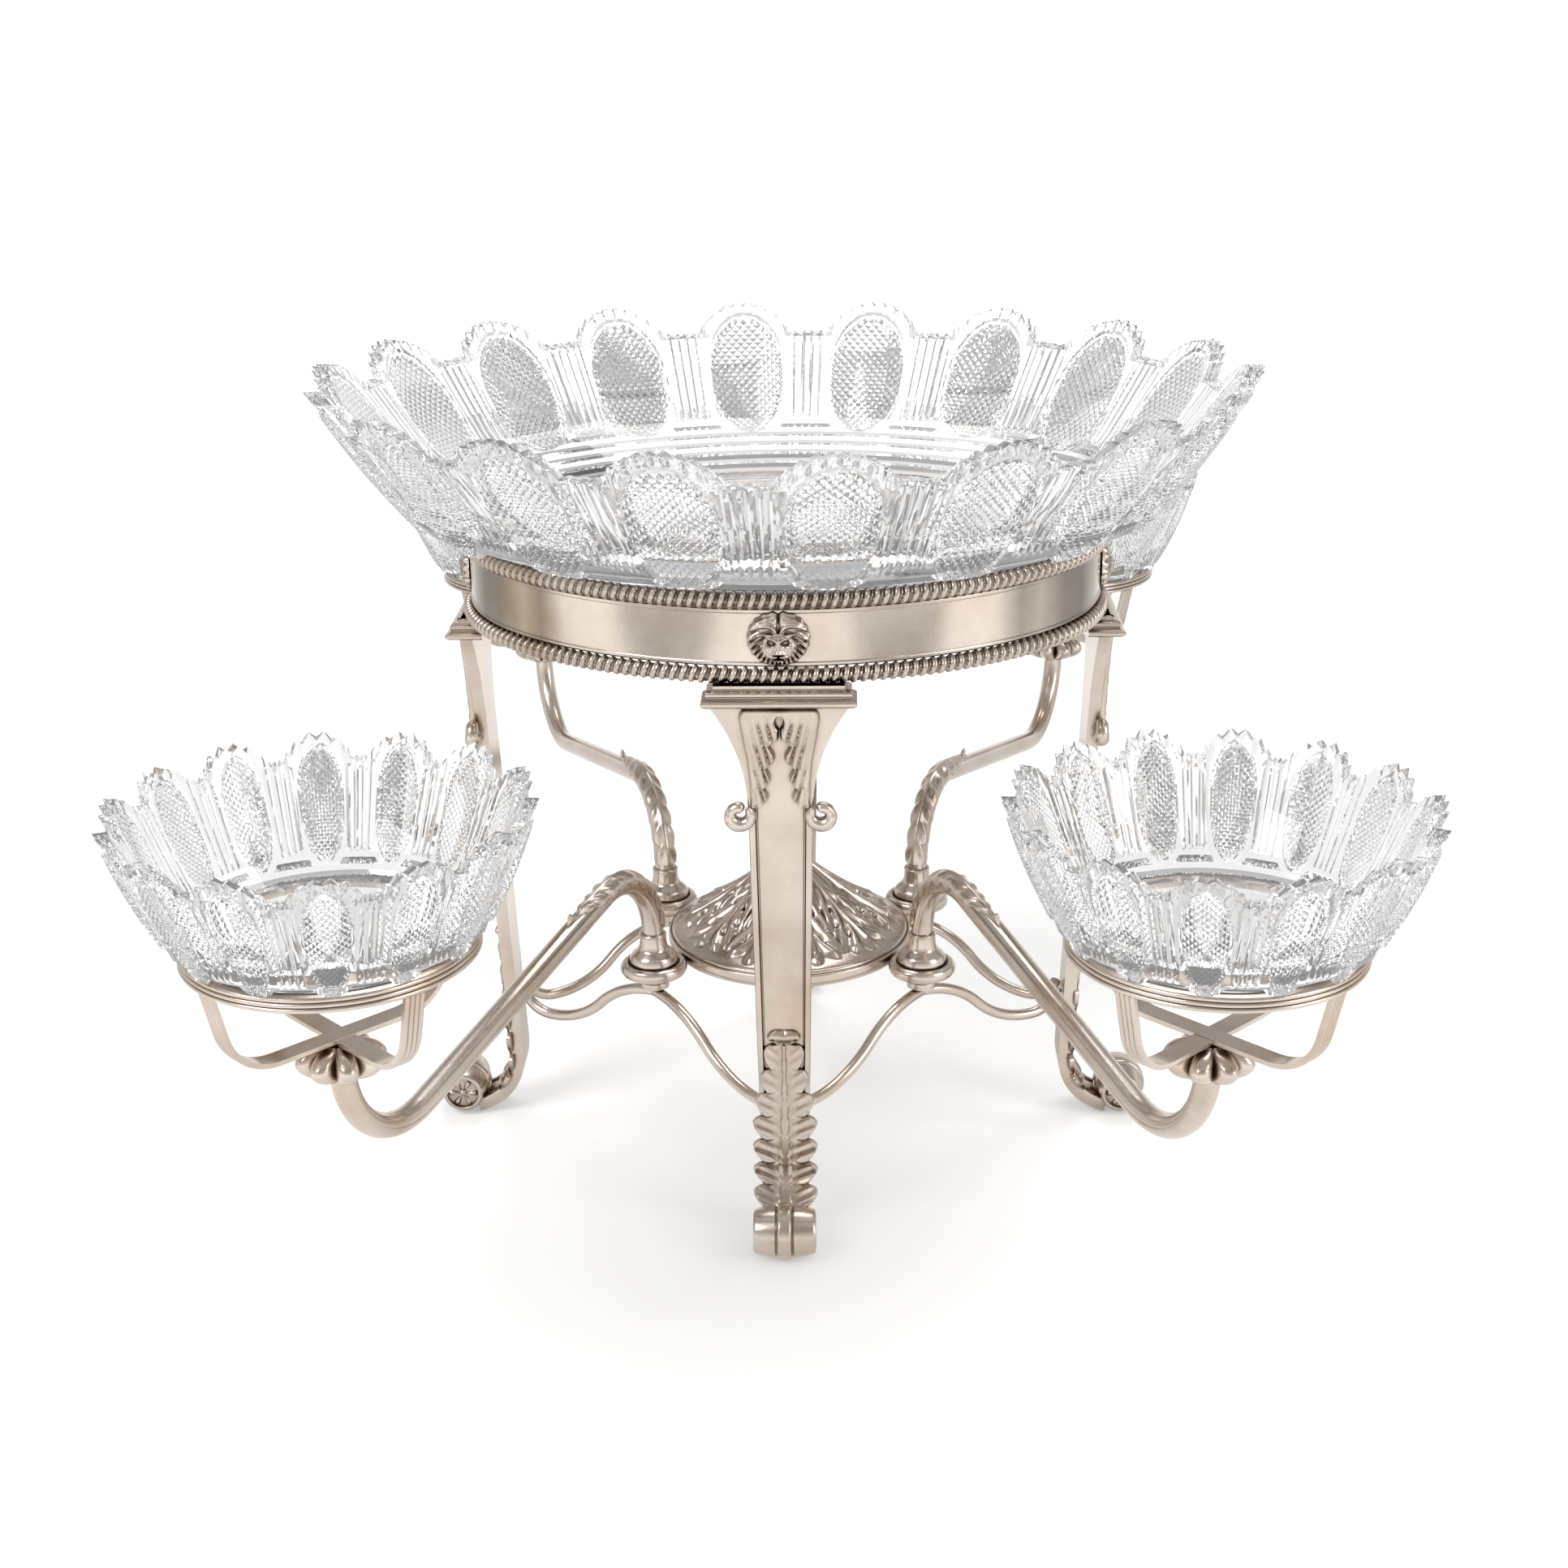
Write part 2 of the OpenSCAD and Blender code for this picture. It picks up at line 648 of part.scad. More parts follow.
module foot_rosettes() {
    color(worn_silver) each_side() translate([foot_x, 0, foot_z]) rotate([90, 0, 0])
        for (side = [0, 1])
            mirror([0, 0, side]) translate([0, 0, foot_len / 2 - leaf_relief]) foot_rosette();
}

// One half of a stretcher, from the arch under the socket to a leg's inner face
module half_stretcher(target) {
    to = target - [socket_x, socket_y];
    span = norm(to);
    fall_run = span - wire_hook_r * sin(hook_turn);
    fall_turn = 2 * atan2(wire_drop, fall_run);
    fall_r = fall_run / (2 * sin(fall_turn));
    translate([socket_x, socket_y, wire_top]) rotate(atan2(to[1], to[0]))
        bent_bar([[fall_r, -fall_turn], [fall_r, fall_turn], [wire_hook_r, hook_turn]], wire_r, wire_r * 0.35);
}

// Two bent wires that meet under a socket
module stretcher(corner) {
    color(silver) at_corner(corner) {
        half_stretcher([ring_half_length - wire_inset, wire_r * 1.6]);
        half_stretcher([wire_r * 1.6, ring_half_width - wire_inset]);
    }
}

module stretcher_front_left() { stretcher("front_left"); }

module stretcher_front_right() { stretcher("front_right"); }

module stretcher_back_left() { stretcher("back_left"); }

module stretcher_back_right() { stretcher("back_right"); }

// A bored tube under a cup with a rolled rim
module socket(corner) {
    bore_r = pin_r + pin_clearance;
    color(silver) at_corner(corner) translate([socket_x, socket_y, 0]) rotate_extrude() {
        difference() {
            union() {
                translate([0, socket_top - socket_h]) square([socket_tube_r, socket_h]);
                translate([0, bead_z - socket_bead_r]) square([socket_r - socket_bead_r, 2 * socket_bead_r]);
                translate([socket_r - socket_bead_r, bead_z]) circle(socket_bead_r);
            }
            translate([0, socket_top - socket_h - over]) square([bore_r, socket_h + 2 * over]);
        }
    }
}

module socket_front_left() { socket("front_left"); }

module socket_front_right() { socket("front_right"); }

module socket_back_left() { socket("back_left"); }

module socket_back_right() { socket("back_right"); }

module centre_plate() {
    color(silver) translate([0, 0, plate_z]) rotate_extrude() difference() {
        translate([0, -plate_rim_h]) square([plate_r, plate_rim_h]);
        translate([0, -plate_rim_h - over]) square([plate_r - plate_t, plate_rim_h - plate_t + over]);
        translate([0, -far / 2]) square([wire_r, far]);
    }
}

// Hollow-sided dome
module acanthus_dome() {
    slope = [for (i = [0:10]) [dome_r * (1 - i / 10) + 1, dome_h * pow(i / 10, 1.35) + 1]];
    color(worn_silver) translate([0, 0, plate_z]) rotate_extrude()
        polygon(concat([[0, 0], [dome_r + 1, 0]], slope, [[0, dome_h + 1]]));
}

// Stud and nut that hold the dome to the plate
module dome_nut() {
    stud_r = wire_r - solder_gap;
    color(worn_silver) translate([0, 0, plate_z]) {
        translate([0, 0, -plate_t - 6]) cylinder(h = plate_t + 6, r = stud_r);
        translate([0, 0, -plate_t - 5]) cylinder(h = 5, r = 7, $fn = 6);
    }
}

// Pin, flange and tapered neck that turn in a socket
module plug(corner) {
    color(silver) on_arm(corner) rotate_extrude() {
        translate([0, plug_z - socket_h]) square([pin_r, socket_h + over]);
        polygon([[0, plug_z], [plug_flange_r, plug_z], [plug_flange_r, plug_z + 1.5],
            [plug_flange_r * 0.85, plug_z + 4], [arm_r + 1.4, plug_z + 6.5], [arm_r + 0.6, arm_z], [0, arm_z]]);
    }
}

module plug_front_left() { plug("front_left"); }

module plug_front_right() { plug("front_right"); }

module plug_back_left() { plug("back_left"); }

module plug_back_right() { plug("back_right"); }

// The scroll: arch over the socket, straight fall, low bend and rise to the calyx
module arm(corner) {
    color(silver) on_arm(corner) translate([0, 0, arm_z]) rotate([0, -90, 0])
        bent_bar([[arch_r, -arch_turn], [arm_run, 0], [low_bend_r, arm_slope], [end_bend_r, end_turn_up]], arm_r, arm_trim, arm_trim);
}

module arm_front_left() { arm("front_left"); }

module arm_front_right() { arm("front_right"); }

module arm_back_left() { arm("back_left"); }

module arm_back_right() { arm("back_right"); }

// Half of a sleeve that lies on an arm, open towards -X
module leaf_section() {
    inner = arm_r * knuckle + solder_gap;
    difference() {
        circle(inner + leaf_relief);
        circle(inner);
        translate([-far + inner * 0.2, -far / 2]) square(far);
    }
}

// A leaf that lies on top of the arch and the start of the straight run, and ends in a curl
module arm_leaf(corner) {
    from = 8;
    turn = arch_turn - from - 1;
    color(worn_silver) on_arm(corner) translate([arch_r, 0, arm_z]) rotate([90, 0, 0]) {
        rotate(180 - from - turn) rotate_extrude(angle = turn) translate([arch_r, 0]) leaf_section();
        rotate(180 - arch_turn) translate([arch_r, 0, 0]) rotate([90, 0, 0]) {
            linear_extrude(arm_leaf_run) leaf_section();
            translate([arm_r + leaf_relief, 0, arm_leaf_run]) sphere(leaf_relief);
        }
    }
}

module arm_leaf_front_left() { arm_leaf("front_left"); }

module arm_leaf_front_right() { arm_leaf("front_right"); }

module arm_leaf_back_left() { arm_leaf("back_left"); }

module arm_leaf_back_right() { arm_leaf("back_right"); }

// A ring of balls round a core that caps the arm
module calyx(corner) {
    round_r = calyx_ball_r / sin(180 / calyx_balls) * 0.92;
    color(silver) on_arm(corner) translate([arm_reach, 0, calyx_z + solder_gap]) {
        cylinder(h = calyx_h, r = round_r * 0.75);
        for (i = [0:calyx_balls - 1])
            rotate(360 * i / calyx_balls) translate([round_r, 0, calyx_ball_r]) sphere(calyx_ball_r);
    }
}

module calyx_front_left() { calyx("front_left"); }

module calyx_front_right() { calyx("front_right"); }

module calyx_back_left() { calyx("back_left"); }

module calyx_back_right() { calyx("back_right"); }

// Side view of one face of a strap, from the bend up past the ring
function strap_line(r) = concat(
    [for (i = [0:strap_facets])
        [strap_bend_at + r * sin(strap_slope * i / strap_facets), strap_bend_r - r * cos(strap_slope * i / strap_facets)]],
    [[strap_bend_at + r * sin(strap_slope) + far / 8 * cos(strap_slope),
      strap_bend_r - r * cos(strap_slope) + far / 8 * sin(strap_slope)]]);
function mirrored(list) = [for (p = list) [-p[0], p[1]]];

// A strap through the crossing, bent up at both ends
module strap() {
    lower = strap_line(strap_bend_r);
    upper = strap_line(strap_bend_r - strap_t);
    rotate([90, 0, 0]) linear_extrude(strap_w, center = true)
        polygon(concat(lower, reversed(upper), mirrored(upper), reversed(mirrored(lower))));
}

module cradle_straps(corner) {
    color(silver) on_arm(corner) translate([arm_reach, 0, 0]) difference() {
        translate([0, 0, strap_z])
            for (i = [0, 1]) rotate(45 + 90 * i - arm_angle(corner)) strap();
        translate([-far / 2, -far / 2, ring_z]) cube(far);
    }
}

module cradle_straps_front_left() { cradle_straps("front_left"); }

module cradle_straps_front_right() { cradle_straps("front_right"); }

module cradle_straps_back_left() { cradle_straps("back_left"); }

module cradle_straps_back_right() { cradle_straps("back_right"); }

// Reeded ring with a ledge for the bowl
module cradle_ring(corner) {
    reed_r = cradle_ring_h / 6;
    color(silver) on_arm(corner) translate([arm_reach, 0, ring_z]) rotate_extrude() {
        translate([cradle_r - cradle_wall, 0]) square([cradle_wall - reed_r, cradle_ring_h]);
        for (i = [0:2])
            translate([cradle_r - reed_r, reed_r * (1 + 2 * i)]) circle(reed_r * 1.02);
        translate([cradle_r - cradle_wall - cradle_ledge_w, cradle_ring_h - ring_ledge_drop - ring_ledge_t])
            square([cradle_ledge_w + over, ring_ledge_t]);
    }
}

module cradle_ring_front_left() { cradle_ring("front_left"); }

module cradle_ring_front_right() { cradle_ring("front_right"); }

module cradle_ring_back_left() { cradle_ring("back_left"); }

module cradle_ring_back_right() { cradle_ring("back_right"); }

module small_bowl_section() {
    wall_x = small_wall / cos(small_lean);
    step = small_base_r / 5;
    polygon([[0, 1.2], [step * 2, 1.2], [step * 2, 0.6], [step * 3, 0.6], [step * 3, 0], [small_base_r, 0],
        [small_knuckle_r, small_knuckle_h], [small_rim_r, small_top_h], [small_rim_r - wall_x, small_top_h],
        [small_knuckle_r - wall_x, small_knuckle_h + small_base_t * 0.6],
        [small_base_r - 3, small_base_t], [0, small_base_t]]);
}

module small_bowl(corner) {
    pitch = 2 * PI * small_rim_r / small_lobes;
    color(glass) on_arm(corner) translate([arm_reach, 0, small_z]) difference() {
        union() {
            rotate_extrude() small_bowl_section();
            for (i = [0:small_lobes - 1])
                rotate(360 * i / small_lobes - arm_angle(corner)) translate([small_knuckle_r, 0, small_knuckle_h])
                    oval_panel(small_panel_half_w, small_panel_half_h, small_panel_middle, small_lean);
        }
        for (i = [0:small_lobes - 1])
            rotate(360 * (i + 0.5) / small_lobes - arm_angle(corner)) translate([small_rim_r, 0, small_valley_h])
                valley_cut(pitch, small_lobe_h, small_lobe_r, 6 * small_wall);
    }
}

module small_bowl_front_left() { small_bowl("front_left"); }

module small_bowl_front_right() { small_bowl("front_right"); }

module small_bowl_back_left() { small_bowl("back_left"); }

module small_bowl_back_right() { small_bowl("back_right"); }

main_bowl();
gallery_band();
upper_gadroon();
lower_gadroon();
lion_mask_front();
lion_mask_right();
lion_mask_back();
lion_mask_left();
leg_front();
leg_right();
leg_back();
leg_left();
capitals();
upper_leaves();
lower_leaves();
foot_scrolls();
foot_rosettes();
stretcher_front_left();
stretcher_front_right();
stretcher_back_left();
stretcher_back_right();
socket_front_left();
socket_front_right();
socket_back_left();
socket_back_right();
centre_plate();
acanthus_dome();
dome_nut();
plug_front_left();
plug_front_right();
plug_back_left();
plug_back_right();
arm_front_left();
arm_front_right();
arm_back_left();
arm_back_right();
arm_leaf_front_left();
arm_leaf_front_right();
arm_leaf_back_left();
arm_leaf_back_right();
calyx_front_left();
calyx_front_right();
calyx_back_left();
calyx_back_right();
cradle_straps_front_left();
cradle_straps_front_right();
cradle_straps_back_left();
cradle_straps_back_right();
cradle_ring_front_left();
cradle_ring_front_right();
cradle_ring_back_left();
cradle_ring_back_right();
small_bowl_front_left();
small_bowl_front_right();
small_bowl_back_left();
small_bowl_back_right();
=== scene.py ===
import json
import math

import bpy
import numpy as np
from mathutils import Matrix


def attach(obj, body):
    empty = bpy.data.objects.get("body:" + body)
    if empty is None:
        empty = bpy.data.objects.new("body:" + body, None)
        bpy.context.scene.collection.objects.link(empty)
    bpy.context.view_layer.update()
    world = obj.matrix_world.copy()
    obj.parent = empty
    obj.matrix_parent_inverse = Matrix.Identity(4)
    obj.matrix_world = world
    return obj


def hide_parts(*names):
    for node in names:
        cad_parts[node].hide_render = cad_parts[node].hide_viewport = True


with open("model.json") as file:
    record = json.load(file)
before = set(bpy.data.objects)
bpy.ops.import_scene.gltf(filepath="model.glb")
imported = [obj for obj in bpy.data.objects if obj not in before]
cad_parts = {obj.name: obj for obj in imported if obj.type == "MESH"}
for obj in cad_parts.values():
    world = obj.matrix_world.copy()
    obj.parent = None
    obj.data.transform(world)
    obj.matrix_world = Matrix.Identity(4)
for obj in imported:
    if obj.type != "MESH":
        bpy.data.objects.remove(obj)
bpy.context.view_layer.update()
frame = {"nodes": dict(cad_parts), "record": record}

MM = 0.001
TAU = 2 * math.pi
CORNERS = ("front_left", "front_right", "back_left", "back_right")
SIDES = {"right": 0, "back": 90, "left": 180, "front": 270}

# Sizes of the solids, in millimetres
HALF_LENGTH, HALF_WIDTH, END_R = 121.0, 103.5, 90.0
END_C = HALF_LENGTH - END_R
SIDE_R = (END_C ** 2 + HALF_WIDTH ** 2 - END_R ** 2) / (2 * (HALF_WIDTH - END_R))
SIDE_C = SIDE_R - HALF_WIDTH
END_TURN = math.radians(90) - math.atan2(END_C, SIDE_C)
OVAL_STEPS = 7200
GALLERY_Z, GALLERY_H, GADROON_R = 219.0, 33.0, 3.0
LEG_TOP, LEG_LEAN, LEG_T, LEG_OUT, CURL_R = 212.0, math.radians(2.6), 4.5, 0.5, 23.0
FOOT_OUT, FOOT_Z = 16.0, 8.6
CURL_DROP = 5.0
LEG_RUN = LEG_TOP - FOOT_Z - CURL_R + CURL_DROP
FOOT_MIDDLE = 10.65
TOUCH_GAP = 0.1
PLATE_R, PLATE_Z = 49.5, 83.0
SOCKET_R, SOCKET_TOP, SOCKET_H, SOCKET_BEARING = 13.4, 82.0, 11.0, math.radians(32.6)
SOCKET_DIST = PLATE_R + SOCKET_R + TOUCH_GAP
SOCKET_X = SOCKET_DIST * math.cos(SOCKET_BEARING)
SOCKET_Y = SOCKET_DIST * math.sin(SOCKET_BEARING)
PLUG_Z, PLUG_H = 82.3, 11.0
ARM_Z = PLUG_Z + PLUG_H
ARM_R, ARCH_R, ARM_REACH, ARM_SLOPE = 4.25, 31.0, 203.0, math.radians(12)
LOW_BEND_R, END_BEND_R = 40.0, 34.0
FRONT_ARM_TURN, BACK_ARM_TURN = math.radians(66), math.radians(69)
CALYX_H, CRADLE_R, CRADLE_H = 9.4, 46.4, 31.0
STRAP_BEND_AT, STRAP_BEND_R = 23.0, 19.0


# Finishes

def feed(tree, node, inputs):
    """Gives a node's inputs their numbers and colours, or links them to other nodes' outputs."""
    for key, value in inputs.items():
        if isinstance(value, bpy.types.NodeSocket):
            tree.links.new(value, node.inputs[key])
        else:
            node.inputs[key].default_value = value


def put(tree, kind, inputs=None, **settings):
    """A new node with its settings and inputs."""
    node = tree.nodes.new(kind)
    for key, value in settings.items():
        setattr(node, key, value)
    feed(tree, node, inputs or {})
    return node


def new_finish(name):
    """A new material, its nodes and its principled shader."""
    material = bpy.data.materials.new(name)
    material.use_nodes = True
    return material, material.node_tree, material.node_tree.nodes["Principled BSDF"]


def noise(tree, place, scale, detail, rough=0.5):
    inputs = {"Vector": place, "Scale": scale, "Detail": detail, "Roughness": rough}
    return put(tree, "ShaderNodeTexNoise", inputs).outputs["Fac"]


def reckon(tree, operation, *values):
    """The result of a sum on numbers or outputs."""
    return put(tree, "ShaderNodeMath", dict(enumerate(values)), operation=operation).outputs[0]


def between(tree, value, low, high, at_low, at_high, kind="LINEAR"):
    """A value carried from one range to another."""
    inputs = {"Value": value, "From Min": low, "From Max": high, "To Min": at_low, "To Max": at_high}
    return put(tree, "ShaderNodeMapRange", inputs, interpolation_type=kind).outputs["Result"]


def ramp(tree, value, stops):
    """A colour from stops of (value, colour or grey level), in rising order."""
    node = put(tree, "ShaderNodeValToRGB", {"Fac": value})
    for i, (at, colour) in enumerate(stops):
        stop = node.color_ramp.elements[i] if i < 2 else node.color_ramp.elements.new(at)
        stop.position = at
        stop.color = (*np.broadcast_to(colour, 3), 1)
    return node.outputs["Color"]


def tinted(tree, colour, tint, share=1.0):
    """A colour darkened by a tint."""
    inputs = {"Factor": share, "A": colour, "B": tint}
    return put(tree, "ShaderNodeMix", inputs, data_type="RGBA", blend_type="MULTIPLY").outputs["Result"]


def silver_finish(name, bright, dull, dark, rough, recess, painted_reflection_streaks=()):
    """Old silver plate: warm, softly scratched, dull in patches, and darkened in its recesses by painted shade that
    also stands for tarnish where polish never reaches.

    Painted reflection streaks are (distance from the middle as a part of the half length, brightness): darker bands
    towards both ends, standing for dark reflections where the band curves away.
    """
    material, tree, base = new_finish(name)
    place = put(tree, "ShaderNodeTexCoord").outputs["Object"]
    patches = noise(tree, place, 38.0, 5.0, 0.6)
    stains = noise(tree, place, 16.0, 4.0, 0.55)
    tone = ramp(tree, patches, [(0.36, dull), (0.62, bright)])
    tone = tinted(tree, tone, ramp(tree, stains, [(0.54, 1.0), (0.72, (0.86, 0.76, 0.62))]))
    # Painted reflection: darker streaks at set distances from the middle, towards both ends of the band.
    if painted_reflection_streaks:
        aside = reckon(tree, "ABSOLUTE", put(tree, "ShaderNodeSeparateXYZ", {"Vector": place}).outputs["X"])
        tone = tinted(tree, tone, ramp(tree, reckon(tree, "DIVIDE", aside, HALF_LENGTH * MM), painted_reflection_streaks))
    # Painted shade: ambient occlusion darkens recesses towards the dark colour; this also stands for tarnish where
    # polish never reaches.
    hollow = put(tree, "ShaderNodeAmbientOcclusion", {"Distance": 2.6 * MM}, samples=6).outputs["AO"]
    recess_shade_and_tarnish = ramp(tree, hollow, [(0.35, dark), (0.86, 1.0)])
    stretch = put(tree, "ShaderNodeMapping", {"Vector": place, "Scale": (90, 90, 900)}).outputs["Vector"]
    scratches = {"Height": noise(tree, stretch, 3.0, 6.0, 0.7), "Strength": 0.06, "Distance": 0.4 * MM}
    feed(tree, base, {
        "Metallic": 1.0,
        "Base Color": tinted(tree, tone, recess_shade_and_tarnish, recess),
        "Roughness": between(tree, patches, 0, 1, rough * 0.75, rough * 1.45),
        "Normal": put(tree, "ShaderNodeBump", scratches).outputs["Normal"]})
    return material


def glass_finish(name):
    """Clear lead glass with faint polishing marks and a faint painted glow; its cut faces scatter some light."""
    material, tree, base = new_finish(name)
    place = put(tree, "ShaderNodeTexCoord").outputs["Object"]
    cut = reckon(tree, "ABSOLUTE", put(tree, "ShaderNodeAttribute", attribute_name="relief").outputs["Fac"])
    feed(tree, base, {
        "Base Color": (0.765, 0.765, 0.77, 1),
        # Painted glow: the glass gives off a faint white light of its own, though it is no lamp.
        "Emission Color": (1.0, 1.0, 0.99, 1),
        "Emission Strength": 0.032,
        "IOR": 1.52,
        "Transmission Weight": between(tree, cut, 0.1, 0.5, 1.0, 0.93),
        "Roughness": between(tree, noise(tree, place, 60.0, 3.0), 0, 1, 0.0, 0.05)})
    return material


# The third colour is painted shade for recesses, which also stands for tarnish.
BRIGHT_SILVER, DULL_SILVER, RECESS_SHADE_AND_TARNISH = (0.66, 0.585, 0.515), (0.57, 0.49, 0.42), (0.25, 0.19, 0.15)
# Painted reflection streaks for the gallery band: dark bands towards both ends.
BAND_PAINTED_REFLECTION_STREAKS = ((0.0, 1.0), (0.64, 1.0), (0.71, 0.62), (0.77, 0.95), (0.85, 0.5), (0.91, 0.36), (0.955, 0.75),
                (1.0, 0.9))
PLAIN = silver_finish("worn_silver_plate", BRIGHT_SILVER, DULL_SILVER, RECESS_SHADE_AND_TARNISH, 0.2, 0.7)
BAND = silver_finish("gallery_silver_plate", BRIGHT_SILVER, DULL_SILVER, RECESS_SHADE_AND_TARNISH, 0.17, 0.7, BAND_PAINTED_REFLECTION_STREAKS)
# The chased finish's dark colour is painted shade for recesses, which also stands for tarnish.
CHASED = silver_finish("chased_silver_plate", (0.63, 0.555, 0.485), (0.52, 0.445, 0.38), (0.10, 0.075, 0.06), 0.24, 1.0)
GLASS = glass_finish("cut_lead_glass")
FINISH = {"silver": PLAIN, "chased_silver": CHASED, "glass": GLASS}

SLOT_OF = {part["node"]: part["material_slot"] for part in frame["record"]["subparts"]}
for node_name, cad in frame["nodes"].items():
    cad.data.materials.clear()
    cad.data.materials.append(FINISH[SLOT_OF[node_name]])


# Places: the oval, the legs and the arms

def oval_xy(normal, out):
    """Points at a distance outside the band's face, where the oval faces along normal."""
    at_end = np.abs(np.sin(normal)) < math.sin(END_TURN)
    x = np.where(at_end, np.sign(np.cos(normal)) * END_C + (END_R + out) * np.cos(normal),
                 (SIDE_R + out) * np.cos(normal))
    y = np.where(at_end, (END_R + out) * np.sin(normal),
                 (SIDE_R + out) * np.sin(normal) - np.sign(np.sin(normal)) * SIDE_C)
    return x, y


def oval_normals(part, out):
    """Facing directions at parts 0 to 1 of the way round the oval, even along its length, and that length."""
    normal = np.linspace(0, TAU, OVAL_STEPS + 1)
    middle = (normal[1:] + normal[:-1]) / 2
    radius = np.where(np.abs(np.sin(middle)) < math.sin(END_TURN), END_R + out, SIDE_R + out)
    length = np.concatenate([[0], np.cumsum(radius * np.diff(normal))])
    return np.interp(part, length / length[-1], normal), length[-1]


def turned_z(points, angle):
    """Points turned round the upright axis."""
    c, s = math.cos(angle), math.sin(angle)
    x, y, z = points
    return x * c - y * s, x * s + y * c, z


def on_side(points, side):
    """From a leg's upright frame, with +X outwards from the band's face, to the object."""
    angle = math.radians(SIDES[side])
    x, y = oval_xy(np.array(angle), 0.0)
    px, py, pz = turned_z(points, angle)
    return px + float(x), py + float(y), pz


def on_leg(points, side):
    """From a leg's leaning frame, with its origin at the top of the leg, to the object."""
    x, y, z = points
    c, s = math.cos(LEG_LEAN), math.sin(LEG_LEAN)
    return on_side((x * c + z * s + LEG_OUT, y, z * c - x * s + LEG_TOP), side)


def on_corner(points, corner):
    """From the back right corner to any of the four."""
    x, y, z = points
    return (x if "right" in corner else -x), (y if "back" in corner else -y), z


def arm_rest(corner):
    """How far an arm at rest is turned from the oval's long axis."""
    return BACK_ARM_TURN if "back" in corner else FRONT_ARM_TURN


def on_arm(points, corner):
    """From an arm's frame, with its origin on the socket's axis and +X along the arm, to the object."""
    x, y, z = turned_z(points, arm_rest(corner))
    return on_corner((x + SOCKET_X, y + SOCKET_Y, z), corner)


# Making

WELD = 1e-6


def finish_piece(piece, name, body, slot, nodes, crease):
    """Welds and closes a piece, and gives it its name, finish, body and the nodes that it stands for."""
    piece.name = piece.data.name = name
    bpy.ops.object.mode_set(mode="EDIT")
    bpy.ops.mesh.select_all(action="SELECT")
    bpy.ops.mesh.remove_doubles(threshold=WELD)
    bpy.ops.mesh.select_all(action="SELECT")
    bpy.ops.mesh.fill_holes(sides=0)
    bpy.ops.mesh.select_all(action="SELECT")
    bpy.ops.mesh.normals_make_consistent(inside=False)
    bpy.ops.object.mode_set(mode="OBJECT")
    bpy.ops.object.shade_smooth_by_angle(angle=math.radians(crease))
    piece.data.materials.clear()
    piece.data.materials.append(FINISH[slot])
    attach(piece, body)
    if nodes:
        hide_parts(*nodes)
    return piece


def split_squares(piece, height):
    """Splits each square of a grid along its lower diagonal, so that cut grooves stay sharp."""
    corners = np.empty(len(piece.data.loops), int)
    piece.data.loops.foreach_get("vertex_index", corners)
    a, b, c, d = height[corners.reshape(-1, 4)].T
    bpy.context.tool_settings.mesh_select_mode = (False, False, True)
    bpy.ops.object.mode_set(mode="EDIT")
    bpy.ops.mesh.select_all(action="DESELECT")
    bpy.ops.object.mode_set(mode="OBJECT")
    piece.data.polygons.foreach_set("select", a + c < b + d)
    bpy.ops.object.mode_set(mode="EDIT")
    bpy.ops.mesh.quads_convert_to_tris(quad_method="FIXED")
    bpy.ops.mesh.select_all(action="SELECT")
    bpy.ops.mesh.quads_convert_to_tris(quad_method="FIXED_ALTERNATE")
    bpy.ops.object.mode_set(mode="OBJECT")
    bpy.context.tool_settings.mesh_select_mode = (True, False, False)


def shaped_grid(name, columns, rows, shape, body, slot, nodes=(), crease=35, heights=None):
    """A grid moved to where shape puts its corners; open edges that meet are joined, others are capped.

    Heights give the relief of each corner, for glass that is cut.
    """
    bpy.ops.object.select_all(action="DESELECT")
    bpy.ops.mesh.primitive_grid_add(x_subdivisions=columns, y_subdivisions=rows, size=1.0)
    piece = bpy.context.object
    flat = np.empty(len(piece.data.vertices) * 3)
    piece.data.vertices.foreach_get("co", flat)
    column = np.rint((flat[0::3] + 0.5) * columns).astype(int)
    row = np.rint((flat[1::3] + 0.5) * rows).astype(int)
    points = np.stack([np.broadcast_to(p, column.shape) for p in shape(column, row)], axis=1) * MM
    piece.data.vertices.foreach_set("co", points.ravel())
    piece.data.update()
    if heights is not None:
        relief = heights(column, row)
        piece.data.attributes.new("relief", "FLOAT", "POINT").data.foreach_set("value", relief.astype(np.float32))
        split_squares(piece, relief)
    return finish_piece(piece, name, body, slot, nodes, crease)


def joined(pieces, name, body, nodes):
    """Several finished pieces as one object."""
    bpy.ops.object.select_all(action="DESELECT")
    for piece in pieces:
        piece.select_set(True)
    bpy.context.view_layer.objects.active = pieces[0]
    bpy.ops.object.join()
    piece = bpy.context.object
    piece.name = piece.data.name = name
    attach(piece, body)
    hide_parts(*nodes)
    return piece


def rounded(profile, count=4, most=0.45):
    """A profile with corners rounded off: points are (x, z) or (x, z, radius), up to a part of the shorter side."""
    out = []
    last = len(profile)
    for i, point in enumerate(profile):
        here = np.array(point[:2], float)
        radius = point[2] if len(point) > 2 else 0
        if not radius or i in (0, last - 1):
            out.append(here)
            continue
        before = np.array(profile[i - 1][:2], float) - here
        after = np.array(profile[(i + 1) % last][:2], float) - here
        cut = min(radius, most * np.linalg.norm(before), most * np.linalg.norm(after))
        a = here + before / np.linalg.norm(before) * cut
        b = here + after / np.linalg.norm(after) * cut
        for k in range(count + 1):
            t = k / count
            out.append((1 - t) ** 2 * a + 2 * t * (1 - t) * here + t ** 2 * b)
    return np.array(out)


